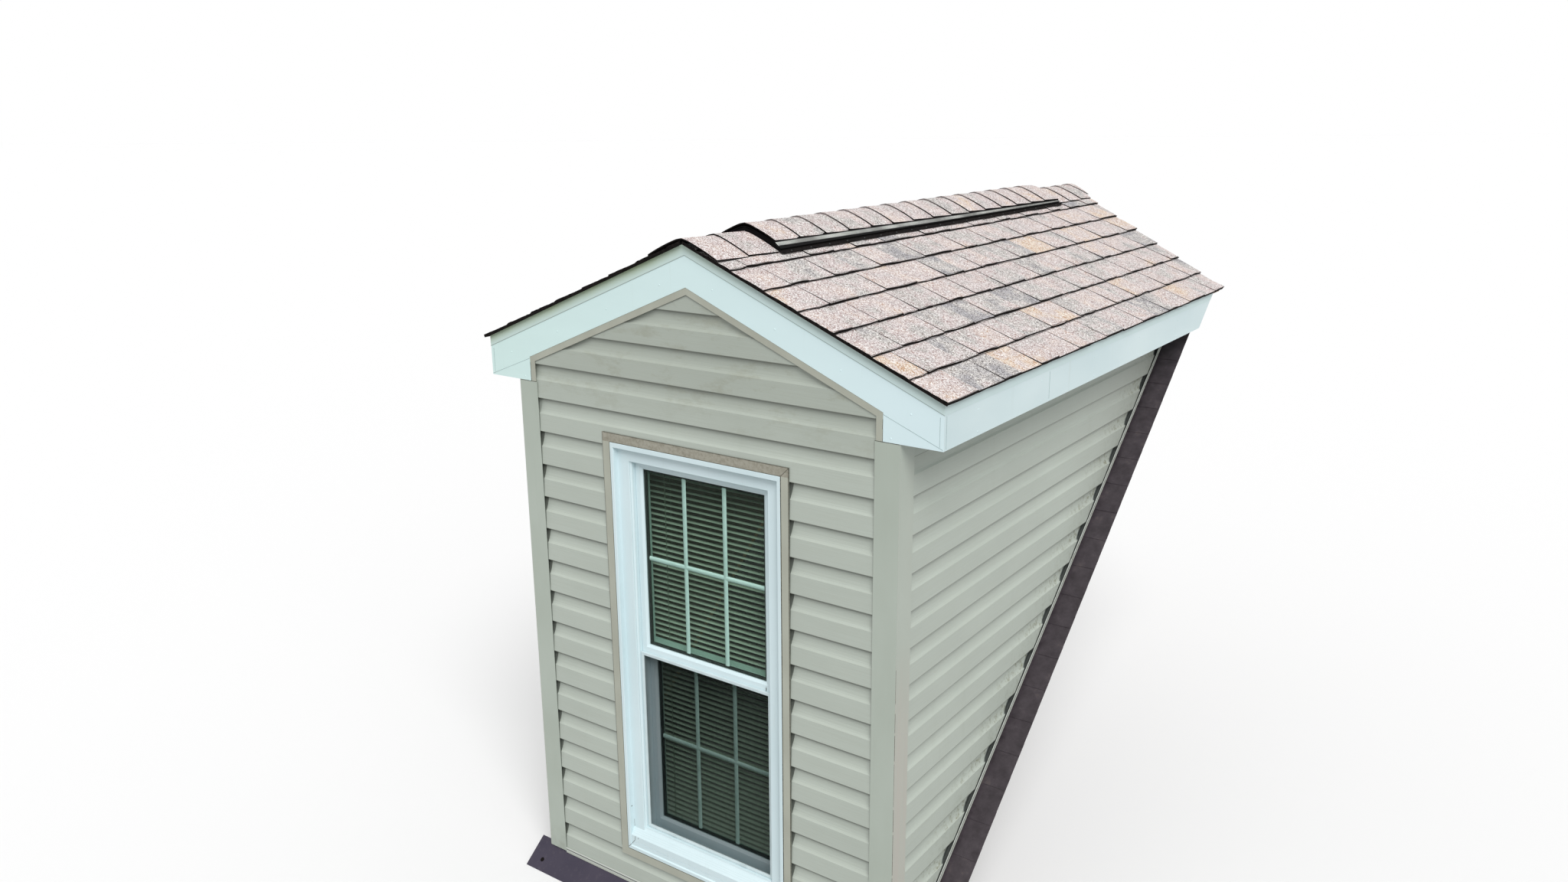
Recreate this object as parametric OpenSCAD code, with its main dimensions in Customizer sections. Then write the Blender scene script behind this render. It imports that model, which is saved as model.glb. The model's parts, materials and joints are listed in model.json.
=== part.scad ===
/* [Roof that carries the dormer] */
// Slope of the main roof, in degrees
main_pitch = 38.7; // [34:0.1:44]

/* [Walls] */
// Width over the wall framing
frame_w = 1397; // [1300:1:1500]
// Depth of the studs
stud = 89; // [64:1:140]
// Thickness of the outer sheathing
sheath = 11; // [9:0.5:19]
// Thickness of the inner board
board = 13; // [9:0.5:16]
// Thickness of the plates and rafters
lumber = 38; // [32:1:50]
// Height from the window's head to the eave edge
head_h = 289; // [270:1:340]

/* [Dormer roof] */
// Rise of the roof for 12 of run
rise_in_12 = 5; // [4:0.25:7]
// Wall face to the fascia's outer face
overhang = 130; // [110:1:170]
// Height of the eave fascia below the deck
fascia_h = 119; // [100:1:130]
// Thickness of the fascia and rake boards
fascia_t = 20; // [16:1:25]
// Plumb depth of the rake board below the deck
rake_h = 115; // [90:1:125]
// Thickness of the roof deck
deck_t = 11; // [9:0.5:19]
// Depth of the rafters
rafter_h = 89; // [64:1:100]
// Spacing of the rafters
rafter_gap = 406; // [300:1:610]
// Thickness of the soffit panel
soffit_t = 9; // [6:0.5:12]
// Height of the soffit over the fascia's lower edge
soffit_lift = 6; // [3:0.5:12]

/* [Shingles] */
// Exposed length of a shingle course
exposure = 127; // [110:1:150]
// Height of a course at its butt
butt_h = 11; // [8:0.5:14]
// Height of a course where the next one covers it
lap_h = 5; // [3:0.5:7]
// Shingle overhang past the fascia and the rake
shingle_lip = 13; // [6:1:20]
// Thickness of the underlay
underlay = 1; // [0.5:0.1:2]
// Thickness of the drip edge
drip_t = 0.8; // [0.5:0.1:1]
// Height of the drip edge's face
drip_h = 34; // [20:1:45]

/* [Ridge] */
// Length of the ridge vent
vent_l = 2120; // [1800:1:2200]
// Distance from the rake's face to the vent
vent_start = 290; // [200:1:350]
// Half width of the ridge vent along the slope
vent_w = 146; // [120:1:170]
// Height of the ridge vent
vent_h = 19; // [14:1:25]
// Exposed length of a cap shingle
cap_exposure = 141.3; // [120:0.1:150]
// Half width of a cap shingle along the slope
cap_w = 140; // [120:1:150]
// Thickness of a cap shingle
cap_t = 5; // [3:0.5:7]

/* [Siding] */
// Exposed height of a siding course
course = 114.3; // [100:0.1:130]
// Depth of the first butt line under the seat's front
foot_drop = 28.8; // [20:0.1:40]
// Depth of the siding from the sheathing to a butt
lap_proj = 16; // [13:0.5:19]
// Thickness of the siding
vinyl = 1.2; // [1:0.1:2]
// Height of the flat part of a course, as part of its exposure
flat_part = 0.53; // [0.45:0.01:0.65]
// Width of a corner post's face
post_w = 79; // [65:1:90]
// Thickness of a corner post
post_t = 1.5; // [1.2:0.1:2]
// Depth of the corner posts and channels
pocket = 19; // [17:0.5:25]
// Face of a channel under the rakes
channel_face = 22; // [15:1:30]
// Face of the channel round the window
window_lip = 31; // [20:1:34]
// Height of the cheek siding's cut over the main deck
siding_lift = 40; // [34:1:60]

/* [Window] */
// Width of the window frame
win_w = 668; // [600:1:700]
// Height of the window frame
win_h = 1480; // [1300:1:1650]
// Foot of the window frame over the seat's front
win_low = 103; // [90:1:130]
// Depth of the window frame
win_d = 112; // [111:1:125]
// Depth from the frame's face to the outer sash
stop_d = 44; // [42:1:46]
// Face width of the window frame's jambs
win_face = 66; // [50:1:80]
// Face height of the window frame's head
win_head = 52; // [40:1:70]
// Clearance of the window frame in its opening
win_gap = 6; // [3:0.5:12]
// Face width of a sash stile
sash_face = 27; // [22:1:45]
// Height of the top rail
top_rail = 34; // [26:1:45]
// Height of the bottom rail
foot_rail = 55; // [40:1:70]
// Height of the meeting rails
meet_h = 43; // [36:1:56]
// Thickness of a sash
sash_t = 32; // [28:1:32]
// Clearance between the sashes and the frame
sash_gap = 0.5; // [0.3:0.1:1]
// Thickness of one glass pane
pane_t = 3; // [2:0.5:4]
// Gap between the two panes
pane_gap = 12; // [8:0.5:14]
// Width of a grid bar
grid_w = 18; // [12:1:24]
// Thickness of a grid bar
grid_t = 6; // [4:0.5:7]

/* [Blind] */
// Width of a blind slat
slat_w = 25; // [16:1:35]
// Spacing of the slats
slat_gap = 19.5; // [18:0.5:30]
// Thickness of a slat
slat_t = 1; // [0.5:0.1:2]
// Tilt of the slats, in degrees, their outer edges up below zero
slat_tilt = -6; // [-45:1:60]

/* [Flashing] */
// Thickness of the flashings
flash_t = 0.8; // [0.5:0.1:1.5]
// Length of the apron on the roof
apron_l = 100; // [80:1:150]
// Apron length past each corner post
apron_past = 60; // [30:1:100]
// Thickness of the main roof's shingles
main_shingle = 12; // [8:0.5:16]

/* [Hidden] */
$fn = 48;
slope = atan(rise_in_12 / 12);
rise = tan(slope);
core_w = frame_w / 2 + sheath;
face_y = -stud / 2 - sheath;
inner_y = stud / 2 + board;
post_x = core_w + pocket;
roof_w = post_x + overhang;
win_top = win_low + win_h;
eave_z = win_top + head_h;
apex_z = eave_z + roof_w * rise;
rake_y = face_y - fascia_t;
deck_drop = deck_t / cos(slope);
rafter_drop = rafter_h / cos(slope);
fascia_top = eave_z - deck_drop;
fascia_low = fascia_top - fascia_h;
soffit_z = fascia_low + soffit_lift;
plate_z = deck_under(frame_w / 2 - stud) - rafter_drop;
rake_low = deck_drop + rake_h;
seat_end = apex_z / tan(main_pitch);
foot_z = -foot_drop;
foot_courses = floor((fascia_low - foot_z) / course);
gable_line = foot_z + foot_courses * course;
rough_w = win_w / 2 + win_gap;
rough_top = win_top + win_gap;
rough_low = win_low - win_gap;
far = 4000;
// Plumb depth of a valley plate under the deck
valley_drop = 115;
// Gap between a sole plate and a valley plate
plate_gap = 1;
// Lap of the eave returns over the corner posts
return_lap = 53.5;
return_x = post_x - return_lap;
// Height of the boxed eave's cut ends over the main roof's deck
fascia_lift = 55;
// Height of the shingles' cut edge over the main roof's deck
shingle_foot = 3;
// Leg of the drip edge on the deck
drip_leg = 50;
// Ridge slot: half width and distance from the vent's ends
vent_slot = 25;
vent_slot_in = 200;
// Ridge vent: skin, ribs and louvres
vent_skin = 2;
vent_rib = 3;
vent_rib_gap = 106;
vent_slats = 4;
vent_slat_w = 22;
// Corner post: web and flange
post_web = 12;
post_flange = 38;
post_lift = 20;
// Siding end inside a channel or a post, and the gap at the channel's web
lap_in = 12;
channel_gap = 8;
channel_lift = 18;
// Foot trim: height over the main roof's deck and lap over the siding
trim_lift = 15.5;
trim_lap = 10;
// Flashing leg on the wall
flash_leg = 100;
leg_rise = 40;
leg_top = foot_z + leg_rise;
// Step flashing: distance of the first piece from the seat's front, and lap
step_start = 40;
step_lap = 50;
step_gap = 1;
// Window frame: face in front of the sheathing, flange, flat of the jambs and their step back
frame_proj = 20;
flange_w = 13;
flange_h = 17;
flange_step = 4;
jamb_flat = 36;
jamb_step = 26;
// Foot of the window frame: flange, nose, ledge of the screen, sill of the lower sash
foot_flange = 14;
nose_h = 57;
ledge_in = 30;
ledge_h = 91;
sill_h = 60;
frame_front = face_y - frame_proj;
opening_w = win_w / 2 - win_face;
upper_y = frame_front + stop_d;
// Foot of the upper sash and the step between the sashes
meet_z = (win_top + win_low) / 2;
sash_step = 2;
sash_w = opening_w - sash_gap;
lower_y = upper_y + sash_t + sash_step;
upper_top = win_top - win_head - sash_gap;
lower_low = win_low + sill_h + sash_gap;
glass_in = (sash_t - 2 * pane_t - pane_gap) / 2;
// Insect screen: bar, thickness, mesh, gap before the sash, foot and head
screen_bar = 11;
screen_t = 8;
mesh_t = 0.4;
screen_y = upper_y - screen_t - 1;
screen_low = win_low + ledge_h + 1;
screen_top = meet_z + 16;
// Gap between a pane, a grid or the mesh and what holds it
pane_fit = 0.3;
// Casing in the room
liner_t = 12;
liner_gap = 0.3;
casing_w = 60;
casing_t = 14;
// Blind: its place in the liner, its rails and its cords
blind_y = frame_front + win_d + slat_w / 2 + 6;
blind_w = win_w - 2 * liner_t - 12;
blind_top = win_top - liner_t - 0.3;
blind_clear = 20;
blind_low = win_low + liner_t + blind_clear;
blind_head = 26;
blind_foot = 14;
ladder_x = 210;
cord_t = 1.5;
cord_gap = 0.3;
// Gap between the cap shingles and what carries them
cap_gap = 0.3;

// Height of the deck's underside at a distance from the ridge
function deck_under(x) = apex_z - x * rise - deck_drop;

// Height of the layer that lies a given thickness over the main roof's deck
function over_seat(y, lift) = y * tan(main_pitch) + lift / cos(main_pitch);

// Keeps what lies at least a given height over the main roof's deck
module above_seat(lift) {
    intersection() {
        children();
        rotate([main_pitch, 0, 0]) translate([-far / 2, -far / 4, lift]) cube([far, far * 1.5, far]);
    }
}

// Draws a part on the right, or its mirror image on the left
module side(right) {
    mirror([right ? 0 : 1, 0, 0]) children();
}

// Sweeps an outline in the plane of the front wall back into the roof
module run_back(y0, y1) {
    translate([0, y1, 0]) rotate([90, 0, 0]) linear_extrude(y1 - y0) children();
}

// Sweeps an outline of depth and height along the front wall
module run_across(x0, x1) {
    translate([x0, 0, 0]) rotate([90, 0, 90]) linear_extrude(x1 - x0) children();
}

// Band along a roof slope, between two distances from the ridge
module slope_band(x0, x1, top, bottom) {
    polygon([[x0, apex_z - x0 * rise - top], [x1, apex_z - x1 * rise - top],
        [x1, apex_z - x1 * rise - bottom], [x0, apex_z - x0 * rise - bottom]]);
}

// Rectangle of the window frame, drawn in by an inset
module frame_rect(inset) {
    translate([inset - win_w / 2, win_low + inset]) square([win_w - 2 * inset, win_h - 2 * inset]);
}

// Layer on the main roof's deck
module roof_layer(t) {
    rotate([main_pitch, 0, 0]) translate([-far / 2, -far / 4, 0]) cube([far, far * 1.5, t]);
}

// Bevelled plates under the walls, flat on the main roof's deck
module sole_plates() {
    color("burlywood") difference() {
        intersection() {
            roof_layer(lumber);
            union() {
                translate([-frame_w / 2, -stud / 2, -far / 8]) cube([frame_w, stud, far]);
                for (right = [true, false]) side(right)
                    translate([frame_w / 2 - stud, stud / 2 - 1, -far / 8]) cube([stud, seat_end, far]);
            }
        }
        for (right = [true, false]) side(right) run_back(0, far)
            slope_band(0, far / 2, -far, deck_drop + valley_drop + plate_gap);
    }
}

// Boards on the main roof that carry the dormer's roof along the valleys
module valley_plates() {
    color("burlywood") intersection() {
        roof_layer(lumber);
        for (right = [true, false]) side(right) run_back(0, far)
            slope_band(lumber / 2, frame_w / 2, deck_drop, deck_drop + valley_drop);
    }
}

// One upright slab of the front wall: sheathing, studs and inner board
module front_slab() {
    above_seat(0) run_back(face_y, -stud / 2) children();
    above_seat(lumber) run_back(-stud / 2, inner_y) children();
}

// Front wall beside the window, from the foot to the window's head
module front_wall_side() {
    front_slab() translate([rough_w, -stud]) square([core_w - rough_w, rough_top + stud]);
}

module front_wall_right() {
    color("wheat") front_wall_side();
}

module front_wall_left() {
    color("wheat") side(false) front_wall_side();
}

module front_wall_below_window() {
    color("wheat") front_slab() translate([-rough_w, -stud]) square([2 * rough_w, rough_low + stud]);
}

// Front wall over the window, up to the deck
module front_wall_gable() {
    color("wheat") run_back(face_y, inner_y) polygon([[-core_w, rough_top], [core_w, rough_top],
        [core_w, deck_under(core_w)], [0, deck_under(0)], [-core_w, deck_under(core_w)]]);
}

// Triangular side wall between the main roof and the eave
module cheek_wall() {
    above_seat(0) translate([frame_w / 2, inner_y, 0]) cube([sheath, seat_end, plate_z]);
    above_seat(lumber) translate([frame_w / 2 - stud - board, inner_y, 0])
        cube([stud + board, seat_end, plate_z]);
}

module cheek_wall_right() {
    color("wheat") cheek_wall();
}

module cheek_wall_left() {
    color("wheat") side(false) cheek_wall();
}

module ridge_board() {
    z = deck_under(lumber / 2);
    color("burlywood") above_seat(0) translate([-lumber / 2, inner_y, z - rafter_drop])
        cube([lumber, seat_end, rafter_drop]);
}

// Rafters, notched over the cheek walls, the last ones cut on the valley plates
module rafters() {
    color("burlywood") for (right = [true, false]) side(right) above_seat(lumber) difference() {
        for (y = [inner_y : rafter_gap : seat_end]) run_back(y, y + lumber)
            slope_band(lumber / 2, roof_w - fascia_t, deck_drop, deck_drop + rafter_drop);
        cube([core_w, seat_end * 2, plate_z]);
    }
}

// Boards under the rafters, between the inner faces of the cheeks
module ceiling() {
    x = frame_w / 2 - stud - board;
    z = deck_under(lumber / 2) - rafter_drop;
    low = rafter_drop + board / cos(slope);
    color("white") above_seat(lumber) run_back(inner_y, seat_end) for (right = [true, false])
        mirror([right ? 0 : 1, 0]) polygon([[0, z], [lumber / 2, z], [x, deck_under(x) - rafter_drop],
            [x, deck_under(x) - low], [0, deck_under(0) - low]]);
}

// Deck of one slope, with a slot under the ridge vent
module roof_deck() {
    above_seat(0) difference() {
        run_back(rake_y, seat_end * 1.1) slope_band(0, roof_w, 0, deck_drop);
        translate([-1, rake_y + vent_start + vent_slot_in, 0])
            cube([vent_slot + 1, vent_l - 2 * vent_slot_in, far]);
    }
}

module roof_deck_right() {
    color("burlywood") roof_deck();
}

module roof_deck_left() {
    color("burlywood") side(false) roof_deck();
}

// Metal edge along the rakes and the eaves: a leg on the deck and a leg over the board
module drip_edges() {
    t = drip_t / cos(slope);
    color("aliceblue") above_seat(fascia_lift) for (right = [true, false]) side(right) {
        run_back(rake_y - drip_t, rake_y) slope_band(0, roof_w + drip_t, -t, drip_h);
        run_back(rake_y - drip_t, rake_y + drip_leg) slope_band(0, roof_w + drip_t, -t, 0);
        run_back(rake_y - drip_t, seat_end) slope_band(roof_w - drip_leg, roof_w + drip_t, -t, 0);
        run_back(rake_y - drip_t, seat_end) translate([roof_w, eave_z - drip_h]) square([drip_t, drip_h]);
    }
}

// Lapped shingle courses of one slope, from the eave to the ridge
module shingles() {
    reach = (roof_w + shingle_lip) / cos(slope);
    count = ceil(reach / exposure);
    outline = [for (i = [0 : count - 1]) each [[i * exposure, butt_h],
        [min((i + 1) * exposure, reach), butt_h - (butt_h - lap_h) * min(1, reach / exposure - i)]]];
    base = [(roof_w + shingle_lip), apex_z - (roof_w + shingle_lip) * rise + underlay / cos(slope)];
    above_seat(shingle_foot) intersection() {
        run_back(rake_y - shingle_lip, seat_end * 1.1)
            translate(base) mirror([1, 0]) rotate(slope) polygon(concat([[0, 0]], outline, [[reach, 0]]));
        translate([0, rake_y - shingle_lip, 0]) cube([far, far, far]);
    }
}

module shingles_right() {
    color("rosybrown") shingles();
}

module shingles_left() {
    color("rosybrown") side(false) shingles();
}

// Both slopes of a capping piece on the ridge, seen from the front
module ridge_fold(half, low, high) {
    w = half * cos(slope);
    polygon([[-w, apex_z + low - w * rise], [0, apex_z + low], [w, apex_z + low - w * rise],
        [w, apex_z + high - w * rise], [0, apex_z + high], [-w, apex_z + high - w * rise]]);
}

// Louvred vent along the ridge: a top sheet on ribs, open at its sides
module ridge_vent() {
    y0 = rake_y + vent_start;
    low = (underlay + butt_h) / cos(slope);
    top = low + vent_h;
    color("black") {
        run_back(y0, y0 + vent_l) ridge_fold(vent_w, top - vent_skin, top);
        for (y = [0 : vent_rib_gap : vent_l - vent_rib]) run_back(y0 + y, y0 + y + vent_rib)
            ridge_fold(vent_w, low, top);
        for (k = [0 : vent_slats - 1]) run_back(y0, y0 + vent_l) {
            z = low + k * vent_h / vent_slats;
            difference() {
                ridge_fold(vent_w, z, z + vent_skin);
                ridge_fold(vent_w - vent_slat_w, z - 1, z + vent_skin + 1);
            }
        }
        for (y = [y0, y0 + vent_l - vent_skin]) run_back(y, y + vent_skin) ridge_fold(vent_w, low, top);
    }
}

// Row of caps folded over the ridge, from front to back, each one's raised butt over the one before it
module cap_row(y0, y1, base) {
    count = max(1, round((y1 - y0) / cap_exposure));
    step = (y1 - y0) / count;
    outline = [for (i = [0 : count - 1]) each [[y0 + i * step, 2 * cap_t], [y0 + (i + 1) * step, cap_t]]];
    for (right = [true, false]) side(right) intersection() {
        translate([0, 0, apex_z + base]) rotate([0, slope, 0])
            run_across(-cap_w, cap_w) polygon(concat([[y0, 0]], outline, [[y1, 0]]));
        translate([0, -far / 2, 0]) cube(far);
    }
}

module ridge_caps() {
    base = (underlay + butt_h) / cos(slope) + cap_gap;
    y0 = rake_y + vent_start;
    color("dimgray") above_seat(shingle_foot) {
        cap_row(rake_y - shingle_lip, y0 - 1, base);
        cap_row(y0 + vent_l + 1, seat_end + 1.5 * cap_exposure, base);
    }
}

// Caps nailed over the vent
module vent_caps() {
    base = (underlay + butt_h) / cos(slope) + vent_h + cap_gap;
    y0 = rake_y + vent_start;
    color("gray") cap_row(y0, y0 + vent_l, base);
}

// Rake board, plumb on the front wall
module rake_board() {
    run_back(rake_y, face_y) slope_band(0, roof_w, deck_drop, rake_low);
}

module rake_board_right() {
    color("lightsteelblue") rake_board();
}

module rake_board_left() {
    color("lightsteelblue") side(false) rake_board();
}

// Fascia along the eave, cut off over the main roof
module eave_fascia() {
    x = roof_w - fascia_t;
    above_seat(fascia_lift) run_back(face_y, seat_end)
        polygon([[x, deck_under(x)], [roof_w, deck_under(roof_w)], [roof_w, fascia_low], [x, fascia_low]]);
}

module eave_fascia_right() {
    color("lightsteelblue") eave_fascia();
}

module eave_fascia_left() {
    color("lightsteelblue") side(false) eave_fascia();
}

// Triangular boards that close the eaves' ends beside the siding
module eave_returns() {
    color("lightsteelblue") for (right = [true, false]) side(right) run_back(rake_y, face_y)
        polygon([[return_x, fascia_low], [roof_w, fascia_low], [roof_w, eave_z - rake_low],
            [return_x, apex_z - return_x * rise - rake_low]]);
}

// Level boards under the eaves
module soffits() {
    color("lightsteelblue") for (right = [true, false]) side(right) above_seat(fascia_lift)
        translate([core_w, face_y, soffit_z]) cube([roof_w - fascia_t - core_w, seat_end, soffit_t]);
}

// Outside corner post: two faces, their webs and the flanges on the sheathing
module corner_post() {
    x = post_x - post_w;
    y = face_y - pocket;
    web = core_w - post_web;
    back = face_y + post_web;
    above_seat(post_lift) translate([0, 0, -far / 8]) linear_extrude(fascia_low + far / 8) {
        translate([x, y]) square([post_w, post_t]);
        translate([post_x - post_t, y]) square([post_t, post_w]);
    }
    translate([0, 0, leg_top]) linear_extrude(fascia_low - leg_top) {
        translate([web, y]) square([post_t, pocket]);
        translate([web - post_flange, face_y - post_t]) square([post_flange + post_t, post_t]);
    }
    above_seat(siding_lift + flash_leg) linear_extrude(fascia_low) {
        translate([core_w, back]) square([pocket, post_t]);
        translate([core_w, back]) square([post_t, post_flange]);
    }
}

module corner_post_right() {
    color("darkseagreen") corner_post();
}

module corner_post_left() {
    color("darkseagreen") side(false) corner_post();
}

// Section of lapped siding: a flat, a hollow cove over it and a butt's leg running back to the wall
module lap_section(courses) {
    hollow = [[2, 0], [4.6, 0.06], [7, 0.13], [9, 0.24], [10.6, 0.42], [11.6, 0.68], [12, 1.04]];
    face = concat([[lap_proj, 0]],
        [for (p = hollow) [lap_proj - p[0], (flat_part + (1 - flat_part) * p[1]) * course]]);
    last = len(face) - 1;
    for (i = [0 : courses - 1]) translate([0, i * course]) polygon(concat(face,
        [for (k = [last : -1 : 1]) [face[k][0] - vinyl, face[k][1]]],
        [[lap_proj - vinyl, vinyl], [0, vinyl], [0, 0]]));
}

// Front siding: strips beside the window and the strip below it
module siding_front() {
    edge = post_x - post_w + lap_in;
    color("darkseagreen") above_seat(trim_lift + 2) difference() {
        run_across(-edge, edge) translate([face_y, foot_z]) mirror([1, 0])
            lap_section(foot_courses);
        run_back(-far, far) frame_rect(-channel_gap);
        translate([-far / 2, -far / 2, gable_line]) cube([far, far, far]);
    }
}

// Gable siding, cut to the rakes and round the window's head
module siding_gable() {
    edge = return_x - channel_gap;
    low = rake_low + channel_gap;
    count = ceil((apex_z - low - gable_line) / course);
    color("darkseagreen") intersection() {
        difference() {
            run_across(-edge, edge) translate([face_y, gable_line]) mirror([1, 0])
                lap_section(count);
            run_back(-far, far) frame_rect(-channel_gap);
            for (right = [true, false]) side(right) translate([post_x - post_w + lap_in, -far / 2, 0])
                cube([far, far, fascia_low + 1]);
        }
        run_back(-far, far) polygon([[-edge, 0], [edge, 0], [edge, apex_z - edge * rise - low],
            [0, apex_z - low], [-edge, apex_z - edge * rise - low]]);
    }
}

// Cheek siding, cut along the main roof and closed by the soffit
module siding_cheek() {
    y0 = face_y - pocket + post_w - lap_in;
    above_seat(siding_lift) intersection() {
        run_back(y0, seat_end) translate([core_w, foot_z]) lap_section(foot_courses + 2);
        translate([0, 0, -far / 2]) cube([far, far, far / 2 + soffit_z]);
    }
}

module siding_cheek_right() {
    color("darkseagreen") siding_cheek();
}

module siding_cheek_left() {
    color("darkseagreen") side(false) siding_cheek();
}

// Channels under the rakes and beside the eave returns
module rake_channels() {
    y = face_y - pocket;
    color("darkseagreen") for (right = [true, false]) side(right) {
        run_back(y, face_y) slope_band(0, return_x, rake_low, rake_low + vinyl);
        run_back(y, y + vinyl) slope_band(0, return_x, rake_low, rake_low + channel_face);
        run_back(face_y - vinyl, face_y) slope_band(0, return_x, rake_low, rake_low + channel_face);
        intersection() {
            union() {
                translate([return_x - vinyl, y, fascia_low]) cube([vinyl, pocket, far]);
                translate([return_x - channel_face, y, fascia_low]) cube([channel_face, vinyl, far]);
                translate([return_x - channel_face, face_y - vinyl, fascia_low])
                    cube([channel_face, vinyl, far]);
            }
            run_back(y, face_y) slope_band(0, return_x, rake_low, far);
        }
    }
}

// Channel round the window that takes the ends of the siding
module window_channel() {
    y = face_y - pocket;
    color("darkseagreen") {
        run_back(y, face_y) difference() {
            frame_rect(-vinyl);
            frame_rect(0);
        }
        for (d = [y, face_y - vinyl]) run_back(d, d + vinyl) difference() {
            frame_rect(-window_lip);
            frame_rect(0);
        }
    }
}

// Sloping channels under the cheek siding
module cheek_channels() {
    x = core_w + flash_t;
    color("antiquewhite") for (right = [true, false]) side(right) intersection() {
        rotate([main_pitch, 0, 0]) translate([x, 0, channel_lift]) {
            cube([pocket - flash_t, far, vinyl]);
            cube([vinyl, far, siding_lift + 8 - channel_lift]);
            translate([pocket - flash_t - vinyl, 0, 0]) cube([vinyl, far, siding_lift - 4 - channel_lift]);
        }
        translate([0, face_y - pocket + post_w + 1, -far / 2]) cube([far, far, far / 2 + soffit_z]);
    }
}

// Trim that closes the foot of the front siding
module foot_trim() {
    edge = post_x - post_w;
    front = face_y - pocket;
    back = face_y - flash_t;
    z0 = over_seat(front, trim_lift);
    z1 = over_seat(back, trim_lift);
    color("antiquewhite") run_across(-edge, edge) {
        polygon([[front, z0], [back, z1], [back, z1 + vinyl], [front, z0 + vinyl]]);
        translate([front, z0]) square([vinyl, foot_z + trim_lap - z0]);
        translate([back - vinyl, z1]) square([vinyl, foot_z + trim_lap - z1]);
    }
}

// Apron: a leg up the wall and a leg down over the main roof
module apron_flashing() {
    edge = post_x + apron_past;
    z = over_seat(face_y - flash_t, main_shingle + flash_t);
    color("dimgray") {
        translate([-core_w, face_y - flash_t, z - flash_t]) cube([2 * core_w, flash_t, leg_top - z]);
        translate([-edge, face_y - flash_t, z]) rotate([main_pitch, 0, 0])
            translate([0, -apron_l - pocket, -flash_t]) cube([2 * edge, apron_l + pocket, flash_t]);
    }
}

// Lapped pieces of flashing along the foot of the cheeks
module step_flashing() {
    count = ceil((soffit_z / sin(main_pitch) - step_start) / exposure);
    color("silver") for (right = [true, false]) side(right) intersection() {
        rotate([main_pitch, 0, 0]) for (i = [0 : count - 1])
            translate([core_w, step_start + i * exposure, 0]) rotate([-asin(2 * flash_t / exposure), 0, 0])
                translate([0, 0, 2 * flash_t]) {
                    cube([flash_leg, exposure + step_lap, flash_t]);
                    cube([flash_t, exposure + step_lap, flash_leg]);
                }
        translate([0, face_y + post_web + post_flange + step_gap, -far / 2])
            cube([far, far, far / 2 + soffit_z]);
    }
}

// Opening of the window frame, drawn in at the sides and the head, running past the foot
module frame_opening(side, head) {
    translate([side - win_w / 2, win_low]) square([win_w - 2 * side, win_h - head]);
}

// Window frame: stepped jambs and head over a foot with nose, screen ledge and sill
module window_frame() {
    steps = [[0, 0, 0], [flange_w, flange_h, flange_step], [jamb_flat, win_head, jamb_step],
        [win_face, win_head, 0]];
    color("white") {
        for (k = [0 : 2]) run_back(frame_front + steps[k][2], frame_front + win_d) difference() {
            frame_opening(steps[k][0], steps[k][1]);
            translate([0, -1]) frame_opening(steps[k + 1][0], steps[k + 1][1] - 1);
        }
        run_across(-win_w / 2, win_w / 2) translate([frame_front, win_low])
            polygon([[0, 0], [win_d, 0], [win_d, sill_h], [stop_d + 2, sill_h - 4], [stop_d, ledge_h],
                [ledge_in, ledge_h], [flange_step, nose_h], [flange_step, foot_flange], [0, foot_flange]]);
    }
}

// Ring of one sash between two heights, with rails of given heights
module sash_ring(z0, z1, foot, head) {
    difference() {
        translate([-sash_w, z0]) square([2 * sash_w, z1 - z0]);
        translate([sash_face - sash_w, z0 + foot]) square([2 * (sash_w - sash_face), z1 - z0 - foot - head]);
    }
}

// Upper sash, outside, with its meeting rail at the foot
module upper_sash() {
    color("white") run_back(upper_y, upper_y + sash_t) sash_ring(meet_z, upper_top, meet_h, top_rail);
}

// Lower sash, behind the upper one
module lower_sash() {
    color("white") run_back(lower_y, lower_y + sash_t)
        sash_ring(lower_low, meet_z + meet_h, foot_rail, meet_h);
}

// Two panes of a sash, set in its thickness
module panes(z0, z1, y) {
    w = sash_w - sash_face - pane_fit;
    color("lightblue", 0.4) for (k = [0, pane_t + pane_gap])
        translate([-w, y + glass_in + k, z0 + pane_fit]) cube([2 * w, pane_t, z1 - z0 - 2 * pane_fit]);
}

module upper_glass() {
    panes(meet_z + meet_h, upper_top - top_rail, upper_y);
}

module lower_glass() {
    panes(lower_low + foot_rail, meet_z, lower_y);
}

// Grid of bars between two panes
module grid(z0, z1, y) {
    w = sash_w - sash_face - pane_fit;
    translate([0, y + (sash_t - grid_t) / 2, 0]) {
        for (k = [1, 2]) translate([-w + 2 * w * k / 3 - grid_w / 2, 0, z0 + pane_fit])
            cube([grid_w, grid_t, z1 - z0 - 2 * pane_fit]);
        translate([-w, 0, (z0 + z1) / 2 - grid_w / 2]) cube([2 * w, grid_t, grid_w]);
    }
}

module sash_grids() {
    color("white") {
        grid(meet_z + meet_h, upper_top - top_rail, upper_y);
        grid(lower_low + foot_rail, meet_z, lower_y);
    }
}

// Half screen outside the lower sash, standing on the ledge
module screen_frame() {
    color("gainsboro") run_back(screen_y, screen_y + screen_t) difference() {
        translate([-sash_w, screen_low]) square([2 * sash_w, screen_top - screen_low]);
        translate([screen_bar - sash_w, screen_low + screen_bar])
            square([2 * (sash_w - screen_bar), screen_top - screen_low - 2 * screen_bar]);
    }
}

module screen_mesh() {
    w = sash_w - screen_bar - pane_fit;
    low = screen_low + screen_bar + pane_fit;
    color("dimgray", 0.5) translate([-w, screen_y + screen_t / 2, low])
        cube([2 * w, mesh_t, screen_top - screen_bar - pane_fit - low]);
}

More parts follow.
